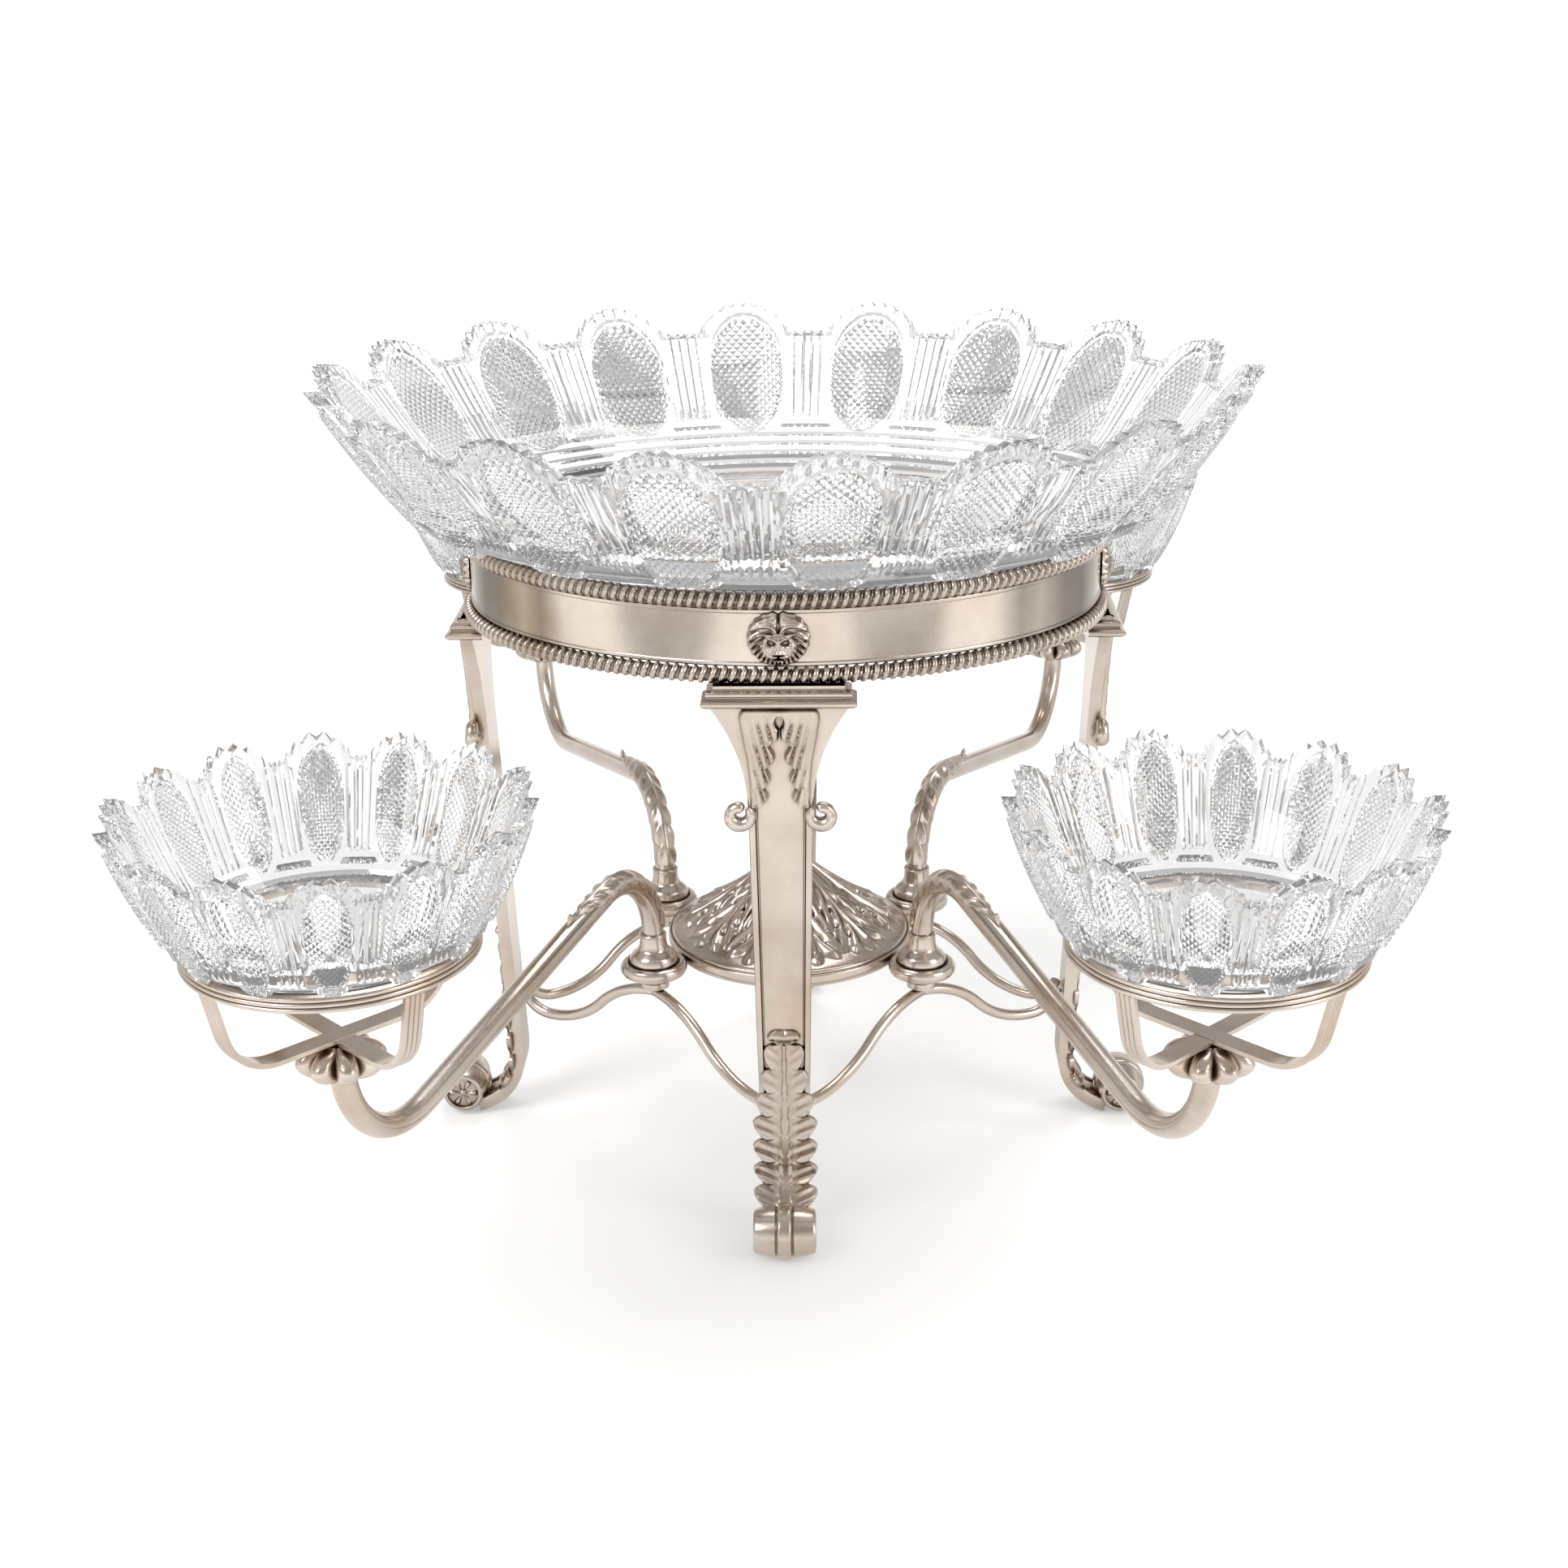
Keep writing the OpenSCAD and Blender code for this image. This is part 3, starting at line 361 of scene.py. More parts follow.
def lathe(name, profile, place, body, slot, nodes=(), steps=96, crease=40):
    """A profile of (radius, height) turned round an upright axis; place moves the points."""
    line = rounded(profile)

    def shape(column, row):
        angle = TAU * (column % steps) / steps
        return place((line[row, 0] * np.cos(angle), line[row, 0] * np.sin(angle), line[row, 1]))

    return shaped_grid(name, steps, len(line) - 1, shape, body, slot, nodes, crease)


def oval_sweep(name, section, body, slot, nodes=(), steps=360, crease=40):
    """A closed section of (distance outside the band's face, height) carried round the oval."""
    line = rounded(section + section[:1])

    def shape(column, row):
        normal, _ = oval_normals((column % steps) / steps, 0.0)
        x, y = oval_xy(normal, line[row, 0])
        return x, y, line[row, 1]

    return shaped_grid(name, steps, len(line) - 1, shape, body, slot, nodes, crease)


def bar_path(runs, at=(0.0, 0.0), heading=0.0, step=1.6):
    """Points and headings, in side view, along straight runs (length, 0) and bends (radius, turn in degrees)."""
    x, z = at
    path = [(x, z, heading)]
    for size, turn in runs:
        turn = math.radians(turn)
        length = size if turn == 0 else abs(turn) * size
        count = max(2, int(length / step))
        for k in range(1, count + 1):
            if turn == 0:
                gone = size * k / count
                path.append((x + gone * math.cos(heading), z + gone * math.sin(heading), heading))
            else:
                up = math.copysign(1, turn)
                now = heading + turn * k / count
                path.append((x + up * size * (math.sin(now) - math.sin(heading)),
                             z - up * size * (math.cos(now) - math.cos(heading)), now))
        x, z, heading = path[-1]
    return np.array(path)


def round_bar(name, path, radius, place, body, slot, nodes=(), sides=20):
    """A round bar along a path in side view; radius may change along it."""
    count = len(path)
    radii = np.broadcast_to(radius, (count,))

    def shape(column, row):
        x, z, heading = path[row].T
        angle = TAU * (column % sides) / sides
        up = radii[row] * np.cos(angle)
        return place((x - up * np.sin(heading), radii[row] * np.sin(angle), z + up * np.cos(heading)))

    return shaped_grid(name, sides, count - 1, shape, body, slot, nodes, crease=50)


def smooth(low, high, value):
    """Zero at low, one at high, with an even sweep between."""
    t = np.clip((value - low) / (high - low), 0, 1)
    return t * t * (3 - 2 * t)


# Cut glass bowls

def cut_bowl(name, body, node, around, lobes, phase, sizes):
    """A lobed bowl: stepped dish, reeded valleys, and a raised oval of cut diamonds on each lobe."""
    per_lobe = sizes["columns"]
    columns = lobes * per_lobe
    pitch = sizes["pitch"]
    half = pitch / per_lobe * 2
    knuckle_out, knuckle_h = sizes["knuckle"]
    rim_out, rim_h, valley_h = sizes["rim"], sizes["valley"] + sizes["lobe_h"], sizes["valley"]
    lean = math.atan2(rim_out - knuckle_out, rim_h - knuckle_h)
    wall = sizes["wall"] / math.cos(lean)
    dish = np.array(sizes["dish"])
    inner = sizes["inner"]
    panel_w, panel_h, panel_mid = sizes["panel"]
    tongue_w, least_tongue = 1.08 * panel_w, 0.45
    ring_at, ring_w, ring_cut = 1.05, 0.05, 0.7
    nick_cut, nick_reach = 0.9, 6.0
    valley_points, valley_nick = 3, 0.6
    low_squeeze, high_squeeze, reed_fade = 0.02, 0.05, 2.5
    rise = half * math.cos(lean) / 2
    drop = sizes["drop"] * math.cos(lean)
    low_rows = int(drop / rise)
    wall_from = len(dish)
    rim_row = wall_from + low_rows + int((rim_h - knuckle_h) / rise) + 1
    rows = rim_row + 1 + len(inner)

    def rim(off):
        """Height of the rim, and how deep it is nicked."""
        lobe_r = sizes["lobe_r"]
        edge = math.sqrt(lobe_r ** 2 - (lobe_r - sizes["lobe_h"]) ** 2)
        lobe = np.sqrt(np.maximum(lobe_r ** 2 - np.minimum(np.abs(off), lobe_r) ** 2, 0)) - lobe_r + sizes["lobe_h"]
        along = lobe_r * np.arcsin(np.clip(off / lobe_r, -1, 1))
        turn = (along / (2 * lobe_r * math.asin(edge / lobe_r)) + 0.5) * sizes["scallops"]
        round_tip, sharp_tip = np.abs(np.sin(math.pi * turn)), 1 - 2 * np.abs(turn % 1 - 0.5)
        nick = 1 - (sharp_tip if sizes["sharp"] else round_tip)
        points = np.abs(np.sin(math.pi * (np.abs(off) - pitch / 2) / (pitch - 2 * edge) * valley_points + math.pi / 2))
        nick = np.where(np.abs(off) < edge, nick, valley_nick * (1 - points))
        return valley_h + np.where(np.abs(off) < edge, np.maximum(lobe, 0), 0) - sizes["notch"] * nick, nick

    def wall_form(column, row):
        """Rim height, height, and relief out from the plain wall."""
        off = ((column % columns / per_lobe - phase) % 1 - 0.5) * pitch
        top, nick = rim(off)
        tongue = drop * np.maximum(np.sqrt(np.maximum(1 - (off / tongue_w) ** 2, 0)), least_tongue)
        height = knuckle_h + rise * (row - wall_from - low_rows)
        height = np.maximum(height, knuckle_h - tongue + low_squeeze * (row - wall_from))
        height = np.where(row == rim_row, top, np.minimum(height, top - high_squeeze * (rim_row - row)))
        slant = (height - knuckle_h) / math.cos(lean)
        p, q = off / half, slant / half - round(panel_mid / half)
        a, b = (p + q) / 2, (p - q) / 2
        diamond = 1 - 2 * np.maximum(np.abs(a - np.rint(a)), np.abs(b - np.rint(b)))
        oval = np.hypot(off / panel_w, (slant - panel_mid) / panel_h)
        relief = np.where(oval < 1, sizes["diamond"] * diamond + sizes["cushion"] * (1 - oval ** 2), 0)
        relief = relief - ring_cut * np.exp(-((oval - ring_at) / ring_w) ** 2)
        reed_from = sizes["reed_from"]
        reed = np.abs(np.cos(math.pi * sizes["reeds"] * (pitch / 2 - np.abs(off)) / (pitch - 2 * reed_from)))
        relief = relief + (np.abs(off) > reed_from) * smooth(-reed_fade, reed_fade, slant) * sizes["reed"] * (reed - 1)
        relief = relief - nick_cut * nick * smooth(top - nick_reach, top, height) * (oval > ring_at)
        return top, height, relief

    def shape(column, row):
        top, height, relief = wall_form(column, row)
        out = knuckle_out + (height - knuckle_h) * math.tan(lean) + relief * math.cos(lean)
        up = height - relief * math.sin(lean)
        low = np.minimum(row, wall_from - 1)
        out = np.where(row < wall_from, dish[low, 0], out)
        up = np.where(row < wall_from, dish[low, 1], up)
        on_rim = row == rim_row + 1
        out = np.where(on_rim, knuckle_out + (top - knuckle_h) * math.tan(lean) - wall, out)
        up = np.where(on_rim, top, up)
        for i, (inner_out, inner_up) in enumerate(inner):
            here = row == rim_row + 2 + i
            out, up = np.where(here, inner_out, out), np.where(here, inner_up, up)
        return around((column % columns) / columns, out, up)

    def cuts(column, row):
        return wall_form(column, row)[2] * ((row >= wall_from) & (row <= rim_row))

    return shaped_grid(name, columns, rows, shape, body, "glass", (node,), crease=12, heights=cuts)


def stepped_dish(edge, knuckle, rise, steps, riser=0.12):
    """A line of (distance out, height) that climbs in steps from the foot's edge to the knuckle."""
    run = knuckle - edge
    line = []
    for i in range(steps):
        line.append((edge + run * i / steps, rise * i / steps))
        line.append((edge + run * (i + riser) / steps, rise * (i + 1) / steps))
    return line


BOWL_Z, RIM_OUT, MAIN_LOBES = 246.2, 58.0, 18
RIM_PITCH = oval_normals(0.0, RIM_OUT)[1] / MAIN_LOBES


def round_main(part, out, up):
    normal, _ = oval_normals(part, RIM_OUT)
    x, y = oval_xy(normal, out)
    return x, y, up + BOWL_Z


cut_bowl("main_cut_bowl", "main_bowl", "main_bowl", round_main, MAIN_LOBES, 22 / 60, {
    "columns": 60, "pitch": RIM_PITCH, "knuckle": (24.0, 18.5), "rim": RIM_OUT, "valley": 53.5,
    "lobe_h": 11.7, "lobe_r": 26.0, "wall": 5.0, "scallops": 10, "sharp": False, "notch": 1.7,
    "panel": (17.5, 28.5, 19.8), "drop": 10.0,
    "diamond": 1.25, "cushion": 1.4, "reed_from": 20.0, "reeds": 5, "reed": 1.1,
    "dish": stepped_dish(-14.0, 22.0, 15.0, 6),
    "inner": [(44.0, 52.0), (34.0, 39.0), (24.0, 27.0), (17.5, 21.5), (12.0, 18.6), (-16.0, 6.0), (-40.0, 6.0)]})


def arm_runs():
    """The arm in side view: its arch, its run down, the low bend and the rise to the calyx."""
    run = (ARM_REACH - ARCH_R * (1 + math.sin(ARM_SLOPE)) - LOW_BEND_R * math.sin(ARM_SLOPE) - END_BEND_R)
    slope = math.degrees(ARM_SLOPE)
    return [(ARCH_R, -90 - slope), (run / math.cos(ARM_SLOPE), 0), (LOW_BEND_R, slope), (END_BEND_R, 90)]


ARM_PATH = bar_path(arm_runs(), (0.0, ARM_Z), math.radians(90))
CALYX_Z = ARM_PATH[-1][1]
STRAP_Z = CALYX_Z + CALYX_H
RING_Z = STRAP_Z + CRADLE_H
RING_H, SHELF_IN, SHELF_LOW, SHELF_TOP, BOWL_GAP = 5.0, 6.0, 2.0, 4.0, 0.3
SMALL_Z = RING_Z + SHELF_TOP + BOWL_GAP
SMALL_RIM, SMALL_LOBES = 66.5, 14

for corner in CORNERS:
    def round_small(part, out, up, corner=corner):
        angle = TAU * part - arm_rest(corner)
        return on_arm((out * np.cos(angle) + ARM_REACH, out * np.sin(angle), up + SMALL_Z), corner)

    body = "small_bowl_" + corner
    cut_bowl("small_cut_bowl_" + corner, body, body, round_small, SMALL_LOBES, 0.5, {
        "columns": 48, "pitch": TAU * SMALL_RIM / SMALL_LOBES, "knuckle": (50.5, 7.5), "rim": SMALL_RIM,
        "valley": 37.0, "lobe_h": 7.6, "lobe_r": 13.6, "wall": 4.0, "scallops": 6, "sharp": True, "notch": 1.9,
        "panel": (7.8, 18.5, 15.8), "drop": 6.5,
        "diamond": 1.0, "cushion": 1.0, "reed_from": 9.0, "reeds": 4, "reed": 0.9,
        "dish": stepped_dish(40.8, 49.0, 4.5, 2),
        "inner": [(57.5, 35.0), (53.0, 24.0), (48.0, 13.5), (45.5, 10.0), (37.8, 4.5), (22.0, 4.5)]})


# Gallery

def gadroon(name, node, z):
    """A border of fat rounded lobes that lean a little, with a thin ridge between each two."""
    lobes, per_lobe, sides = 200, 14, 14
    slant, fat_half, thin_half, thin_h = 0.22, 0.34, 0.11, 0.6
    groove_r, swell_r, middle_out = 0.62 * GADROON_R, 0.44 * GADROON_R, 0.5
    columns = lobes * per_lobe

    def shape(column, row):
        part = (column % columns) / columns
        angle = TAU * (row % sides) / sides
        off = np.abs((part * lobes - slant * np.sin(angle)) % 1 - 0.5)
        fat = np.sqrt(np.clip(1 - (off / fat_half) ** 2, 0, 1))
        thin = thin_h * np.sqrt(np.clip(1 - ((0.5 - off) / thin_half) ** 2, 0, 1))
        radius = groove_r + swell_r * np.maximum(fat, thin)
        normal, _ = oval_normals(part, middle_out)
        x, y = oval_xy(normal, middle_out + radius * np.cos(angle))
        return x, y, z + radius * np.sin(angle)

    return shaped_grid(name, columns, sides, shape, "stand", "chased_silver", (node,), crease=60)


gadroon("upper_gadroon_border", "upper_gadroon", GALLERY_Z + GALLERY_H - GADROON_R)
gadroon("lower_gadroon_border", "lower_gadroon", GALLERY_Z + GADROON_R)
BAND_EDGE, BAND_T, BEAD_OUT, LEDGE_IN, LEDGE_T = 6.1, 1.6, 0.35, 22.0, 2.0
BAND_LOW, BAND_HIGH = GALLERY_Z + BAND_EDGE, GALLERY_Z + GALLERY_H - BAND_EDGE
sheet = oval_sweep("gallery_sheet", [
    (0, BAND_LOW), (BEAD_OUT, BAND_LOW + 0.4, 0.3), (BEAD_OUT, BAND_LOW + 1.4, 0.3), (0, BAND_LOW + 1.8),
    (0, BAND_HIGH - 1.8), (BEAD_OUT, BAND_HIGH - 1.4, 0.3), (BEAD_OUT, BAND_HIGH - 0.4, 0.3), (0, BAND_HIGH),
    (-LEDGE_IN, BAND_HIGH, 0.4), (-LEDGE_IN, BAND_HIGH - LEDGE_T, 0.4), (-BAND_T, BAND_HIGH - LEDGE_T),
    (-BAND_T, BAND_LOW)], "stand", "silver", ("gallery_band",))
sheet.data.materials[0] = BAND


# Lion masks

def lion_mask(side):
    """A lion's face with a drawn brow, a broad nose and muzzle, and a mane parted at the top."""
    rings, spokes = 40, 168
    half_w, half_h, dome_h, rim_lift, back_lift = 10.9, 10.0, 3.3, 0.15, 0.1
    locks, fringe, cleft, cleft_w = 19, 0.02, 0.05, 0.16
    face_w, face_h, face_low, face_lift = 0.55, 0.5, 0.26, 0.5
    mane_low, mane_h, mane_lift, brow_h, nose_h = 0.12, 0.65, 0.35, 1.1, 1.5
    # Each is (across, up, half width, half height, height), the first four as parts of the mask
    features = {
        "cheek": (0.38, -0.28, 0.13, 0.17, 0.8),
        "eye_hollow": (0.23, -0.09, 0.12, 0.085, -1.9),
        "eye": (0.23, -0.09, 0.05, 0.045, 0.9),
        "nose_tip": (0.0, -0.43, 0.16, 0.07, 0.7),
        "muzzle": (0.18, -0.57, 0.15, 0.10, 1.4),
        "under_nose": (0.0, -0.505, 0.13, 0.03, -2.2),
        "lip_parting": (0.0, -0.60, 0.025, 0.08, -1.2),
        "mouth": (0.06, -0.685, 0.2, 0.03, -1.3),
        "chin": (0.0, -0.77, 0.15, 0.06, 0.9),
        "mane_parting": (0.0, 0.72, 0.05, 0.3, -1.2)}

    def shape(column, row):
        angle = TAU * (column % spokes) / spokes
        rho = np.minimum(row, rings) / rings
        wave = 1 + fringe * np.sin(locks * angle) - cleft * np.exp(-((angle - math.pi / 2) / cleft_w) ** 2)
        u, w = np.abs(rho * wave * np.cos(angle)), rho * wave * np.sin(angle)
        h = dome_h * np.sqrt(np.maximum(1 - 0.9 * rho ** 2, 0))
        face = np.hypot(u / face_w, (w + face_low) / face_h)
        lie, far = np.arctan2(w + mane_low, u + 0.02), np.hypot(u, w + mane_low)
        fall = lie + far * np.cos(lie)
        strand = np.sin(locks * fall) + 0.4 * np.sin(37 * fall + 9 * far)
        h = h + (mane_h * strand + mane_lift) * smooth(0.92, 1.12, face) + face_lift * smooth(1.05, 0.85, face)
        brow = np.exp(-((w - 0.5 * (u - 0.07)) / 0.075) ** 2) * smooth(0.0, 0.08, u) * smooth(0.5, 0.4, u)
        nose = np.exp(-(u / (0.12 - 0.12 * w)) ** 2) * smooth(-0.52, -0.46, w) * smooth(0.16, 0.0, w)
        h = h + brow_h * brow + nose_h * nose
        for across, up, wide, tall, height in features.values():
            h = h + height * np.exp(-((u - across) / wide) ** 2 - ((w - up) / tall) ** 2)
        h = np.where(row > rings, back_lift, h * smooth(1.0, 0.95, rho) + rim_lift)
        y, z = rho * wave * half_w * np.cos(angle), half_h * w
        return on_side((h, y, z + GALLERY_Z + GALLERY_H / 2), side)

    return shaped_grid("lion_mask_chased_" + side, spokes, rings + 1, shape, "stand", "chased_silver",
                       ("lion_mask_" + side,), crease=60)


for side in SIDES:
    lion_mask(side)


# Centre plate and dome

PLATE_EDGE = [(0, -2), (47.2, -2), (47.2, -6), (48.9, -6.2, 0.8), (49.5, -4.5, 0.8), (49.5, -1.6, 0.6),
              (48.9, -1.1, 0.3), (48.1, -1.7, 0.2), (47.9, -0.5, 0.3), (47.3, 0, 0.4), (0, 0)]
lathe("centre_plate_turned", [(radius, PLATE_Z + z, *bend) for radius, z, *bend in PLATE_EDGE],
      lambda p: p, "stand", "silver", ("centre_plate",), steps=144)


def acanthus_dome():
    """A hollow-sided boss under ten leaves: strong ribs, fingered blades with sunk eyes, and a bead at each tip."""
    leaves, spokes, rings, foot_r, dome_h = 10, 480, 90, 46.8, 33.0
    first_leaf, rib_w, rib_h, bead_w, bead_h, bead_at = math.radians(286), 0.85, 1.9, 1.5, 1.7, 0.915
    eye_w, eye_l, eye_cut, eyes_at = 0.085, 0.03, 1.5, ((0.46, 0.50), (0.70, 0.64), (0.45, 0.74))
    fingers, finger_slant, finger_h, blade_h, puff, seam_w, seam_cut = 4.6, 1.8, 0.7, 0.9, 0.7, 0.06, 1.0

    def shape(column, row):
        angle = TAU * (column % spokes) / spokes
        t = np.minimum(row, rings) / rings
        off = np.abs((((angle - first_leaf) / TAU * leaves + 0.5) % 1 - 0.5) * 2)
        across = off * math.pi / leaves * foot_r * t
        body = dome_h * (1 - t) ** 1.35
        rib = np.exp(-(across / rib_w) ** 2) * smooth(0.06, 0.14, t) * smooth(0.90, 0.85, t)
        finger = np.cos(TAU * (fingers * t - finger_slant * off))
        blade = smooth(0.93, 0.88, t + 0.022 * (1 - finger))
        seam = np.exp(-((1 - off) / seam_w) ** 2) * smooth(0.3, 0.5, t)
        eyes = sum(np.exp(-((off - at) / eye_w) ** 2 - ((t - out) / eye_l) ** 2) for at, out in eyes_at)
        leaf = blade_h + puff * np.sin(math.pi * off) - seam_cut * seam - eye_cut * eyes
        leaf = leaf + finger_h * finger * smooth(0.3, 0.5, t) * smooth(0.08, 0.3, off)
        bead = bead_h * np.exp(-(across / bead_w) ** 2 - ((t - bead_at) * foot_r / bead_w) ** 2)
        z = body + (blade * leaf + rib_h * rib) * smooth(0.0, 0.15, t) + bead
        z = np.where(row > rings, 0.0, z * smooth(1.0, 0.985, t) + 0.05)
        return foot_r * t * np.cos(angle), foot_r * t * np.sin(angle), PLATE_Z + z

    return shaped_grid("acanthus_boss", spokes, rings + 1, shape, "stand", "chased_silver", ("acanthus_dome",),
                       crease=50)


acanthus_dome()


# Sockets, stretchers and arms

WIRE_R, WIRE_DROP, HOOK_R, HOOK_TURN = 2.2, 22.0, 13.0, 70.0
WIRE_TOP = SOCKET_TOP - SOCKET_H - WIRE_R - TOUCH_GAP
WIRE_END_Z = WIRE_TOP - WIRE_DROP + HOOK_R * (1 - math.cos(math.radians(HOOK_TURN)))
LEG_BACK_OUT = (LEG_TOP - WIRE_END_Z) * math.tan(LEG_LEAN) - LEG_OUT + LEG_T / 2 / math.cos(LEG_LEAN)
WIRE_INSET = LEG_BACK_OUT + WIRE_R + TOUCH_GAP
WIRE_APART = WIRE_R * 1.6


def half_stretcher(name, target, corner):
    """A wire from under a socket to a leg: it dips in an even sweep and hooks up at its end."""
    dx, dy = target[0] - SOCKET_X, target[1] - SOCKET_Y
    span = math.hypot(dx, dy)
    run = span - HOOK_R * math.sin(math.radians(HOOK_TURN))
    turn = math.degrees(2 * math.atan2(WIRE_DROP, run))
    radius = run / (2 * math.sin(math.radians(turn)))
    path = bar_path([(radius, -turn), (radius, turn), (HOOK_R, HOOK_TURN)], (0.0, WIRE_TOP))

    def place(points):
        x, y, z = turned_z(points, math.atan2(dy, dx))
        return on_corner((x + SOCKET_X, y + SOCKET_Y, z), corner)

    return round_bar(name, path, WIRE_R, place, "stand", "silver")


def arm_leaf(corner):
    """A leaf wrapped over the arch and the start of the run, with lobed edges, a rib and a flicked tip."""
    columns, rows = 36, 160
    arch, first, tail, sunk = ARCH_R * (math.pi / 2 + ARM_SLOPE), 3.0, 26.0, 0.4
    lobe_count, wrap, blade_h, rib_h, vein_h, flick_h = 10, 1.7, 0.75, 0.55, 0.4, 2.4
    length = arch + tail

    def shape(column, row):
        under = column > columns
        across = np.where(under, 3 - 2 * column / columns, 2 * column / columns - 1)
        t = row / rows
        along = first + (length - first) * t
        turn = np.minimum(along, arch) / ARCH_R
        beyond = np.maximum(along - arch, 0)
        lobes = np.abs(np.sin(math.pi * t * lobe_count))
        width = wrap * (1 - 0.9 * smooth(0.62, 1.0, t)) * (0.82 + 0.2 * lobes)
        tip = np.sqrt(np.clip((1 - t) / 0.012, 0, 1))
        edge = (1 - np.abs(across) ** 4) * tip
        rib = np.exp(-(across / 0.12) ** 2)
        vein = np.cos(2 * lobe_count * math.pi * t + 6 * np.abs(across)) * np.minimum(np.abs(across) * 2.5, 1)
        flick = flick_h * np.exp(-((t - 0.97) / 0.022) ** 2) * (1 - across ** 2)
        lift = 0.15 + edge * (blade_h + rib_h * rib + vein_h * vein) + flick * tip
        radius = np.where(under, ARM_R - sunk, ARM_R + lift)
        angle = across * width
        heading = math.pi / 2 - turn
        x = ARCH_R - ARCH_R * np.cos(turn) + beyond * np.cos(heading) - radius * np.cos(angle) * np.sin(heading)
        z = ARM_Z + ARCH_R * np.sin(turn) + beyond * np.sin(heading) + radius * np.cos(angle) * np.cos(heading)
        return on_arm((x, radius * np.sin(angle), z), corner)

    return shaped_grid("arm_leaf_chased_" + corner, 2 * columns, rows, lambda c, r: shape(c % (2 * columns), r),
                       "swivel_arm_" + corner, "chased_silver", ("arm_leaf_" + corner,), crease=50)


def reeded_strap(name, turn, corner, sunk=0.0):
    """A strap with four reeds, through the crossing and bent up to the ring at both ends."""
    inset, end_gap, reeds, half_w, reed_h, thick = 1.2, 0.4, 4, 3.5, 0.6, 2.0
    reach, rise, bend = CRADLE_R - inset - STRAP_BEND_AT, CRADLE_H, STRAP_BEND_R
    slope = 2 * math.atan((math.sqrt(reach ** 2 + rise * (rise - 2 * bend)) - reach) / (rise - 2 * bend))
    run = (rise - bend * (1 - math.cos(slope))) / math.sin(slope)
    half_path = bar_path([(STRAP_BEND_AT, 0), (bend, math.degrees(slope)), (run - end_gap, 0)])
    other = half_path[:0:-1] * np.array([-1, 1, -1])
    path = np.concatenate([other, half_path])
    across = np.linspace(-1, 1, 8 * reeds + 1)
    section = [(a * half_w, reed_h * (1 - abs(math.sin(math.pi * reeds / 2 * (a + 1))))) for a in across]
    section += [(half_w, thick), (-half_w, thick), section[0]]
    section = np.array(section)

    def shape(column, row):
        x, z, heading = path[row].T
        side, up = section[column].T
        points = (x - up * np.sin(heading), side, z + up * np.cos(heading))
        px, py, pz = turned_z(points, turn - arm_rest(corner))
        return on_arm((px + ARM_REACH, py, pz + STRAP_Z - sunk), corner)

    return shaped_grid(name, len(section) - 1, len(path) - 1, shape, "swivel_arm_" + corner, "silver", crease=40)


def calyx(corner):
    """Eight round lobes under a small cap where the arm meets the straps."""
    spokes, rings, lobes, low, high = 160, 32, 8, -2.6, 9.2
    neck_r, web_r, lobe_r, cap_r, fattest = 4.2, 2.6, 7.6, 1.6, 0.94

    def shape(column, row):
        angle = TAU * (column % spokes) / spokes
        t = row / rings
        lobe = np.sqrt(1 - (2 * np.abs(((angle + arm_rest(corner)) / TAU * lobes) % 1 - 0.5)) ** 2)
        swell = np.sqrt(np.clip(1 - (2 * t - fattest) ** 2 / fattest ** 2, 0, 1))
        radius = neck_r + (web_r + lobe_r * lobe) * swell + cap_r * smooth(0.9, 1.0, t)
        z = CALYX_Z + low + (high - low) * t
        return on_arm((ARM_REACH + radius * np.cos(angle), radius * np.sin(angle), z), corner)

    return shaped_grid("calyx_lobed_" + corner, spokes, rings, shape, "swivel_arm_" + corner, "silver",
                       ("calyx_" + corner,), crease=60)


def reeded_ring():
    """The cradle's ring: three reeds outside and a shelf for the bowl inside."""
    reeds, steps, bulge, open_half, thick = 3, 8, 0.85, 80, 3.6
    reed_half = RING_H / reeds / 2
    inside = CRADLE_R - thick
    outside = []
    for i in range(reeds):
        for k in range(steps + 1):
            a = math.radians(-open_half + 2 * open_half * k / steps)
            outside.append((CRADLE_R - bulge + bulge * math.cos(a), RING_Z + reed_half * (1 + 2 * i + math.sin(a))))
    return [(inside, RING_Z)] + outside + [
        (inside, RING_Z + RING_H), (inside, RING_Z + SHELF_TOP), (inside - SHELF_IN, RING_Z + SHELF_TOP),
        (inside - SHELF_IN, RING_Z + SHELF_LOW), (inside, RING_Z + SHELF_LOW), (inside, RING_Z)]


SOCKET_LINE = [
    (4.05, 71.0), (6.0, 71.0, 0.4), (6.0, 73.5, 0.3), (5.4, 74.0, 0.3), (5.6, 76.0), (10.7, 76.6, 0.5),
    (12.6, 77.2, 0.8), (13.4, 79.3, 1.2), (12.6, 81.4, 0.8), (10.7, 82.0, 0.5), (9.9, 81.4, 0.4), (9.9, 79.5),
    (4.05, 79.5), (4.05, 71.0)]
PLUG_LINE = [
    (0, 71.4), (3.7, 71.4), (4.0, 72.0), (4.0, 80.0), (8.2, 80.2), (9.4, 81.0, 0.6), (9.6, 82.8, 0.8),
    (8.9, 85.0, 1.2), (7.4, 86.4, 1.0), (5.9, 87.6, 1.0), (5.3, 90.0), (5.2, 93.0, 0.4), (5.5, 93.6, 0.3),
    (4.9, 94.2, 0.3), (0, 94.2)]
STRAP_SUNK = 0.12

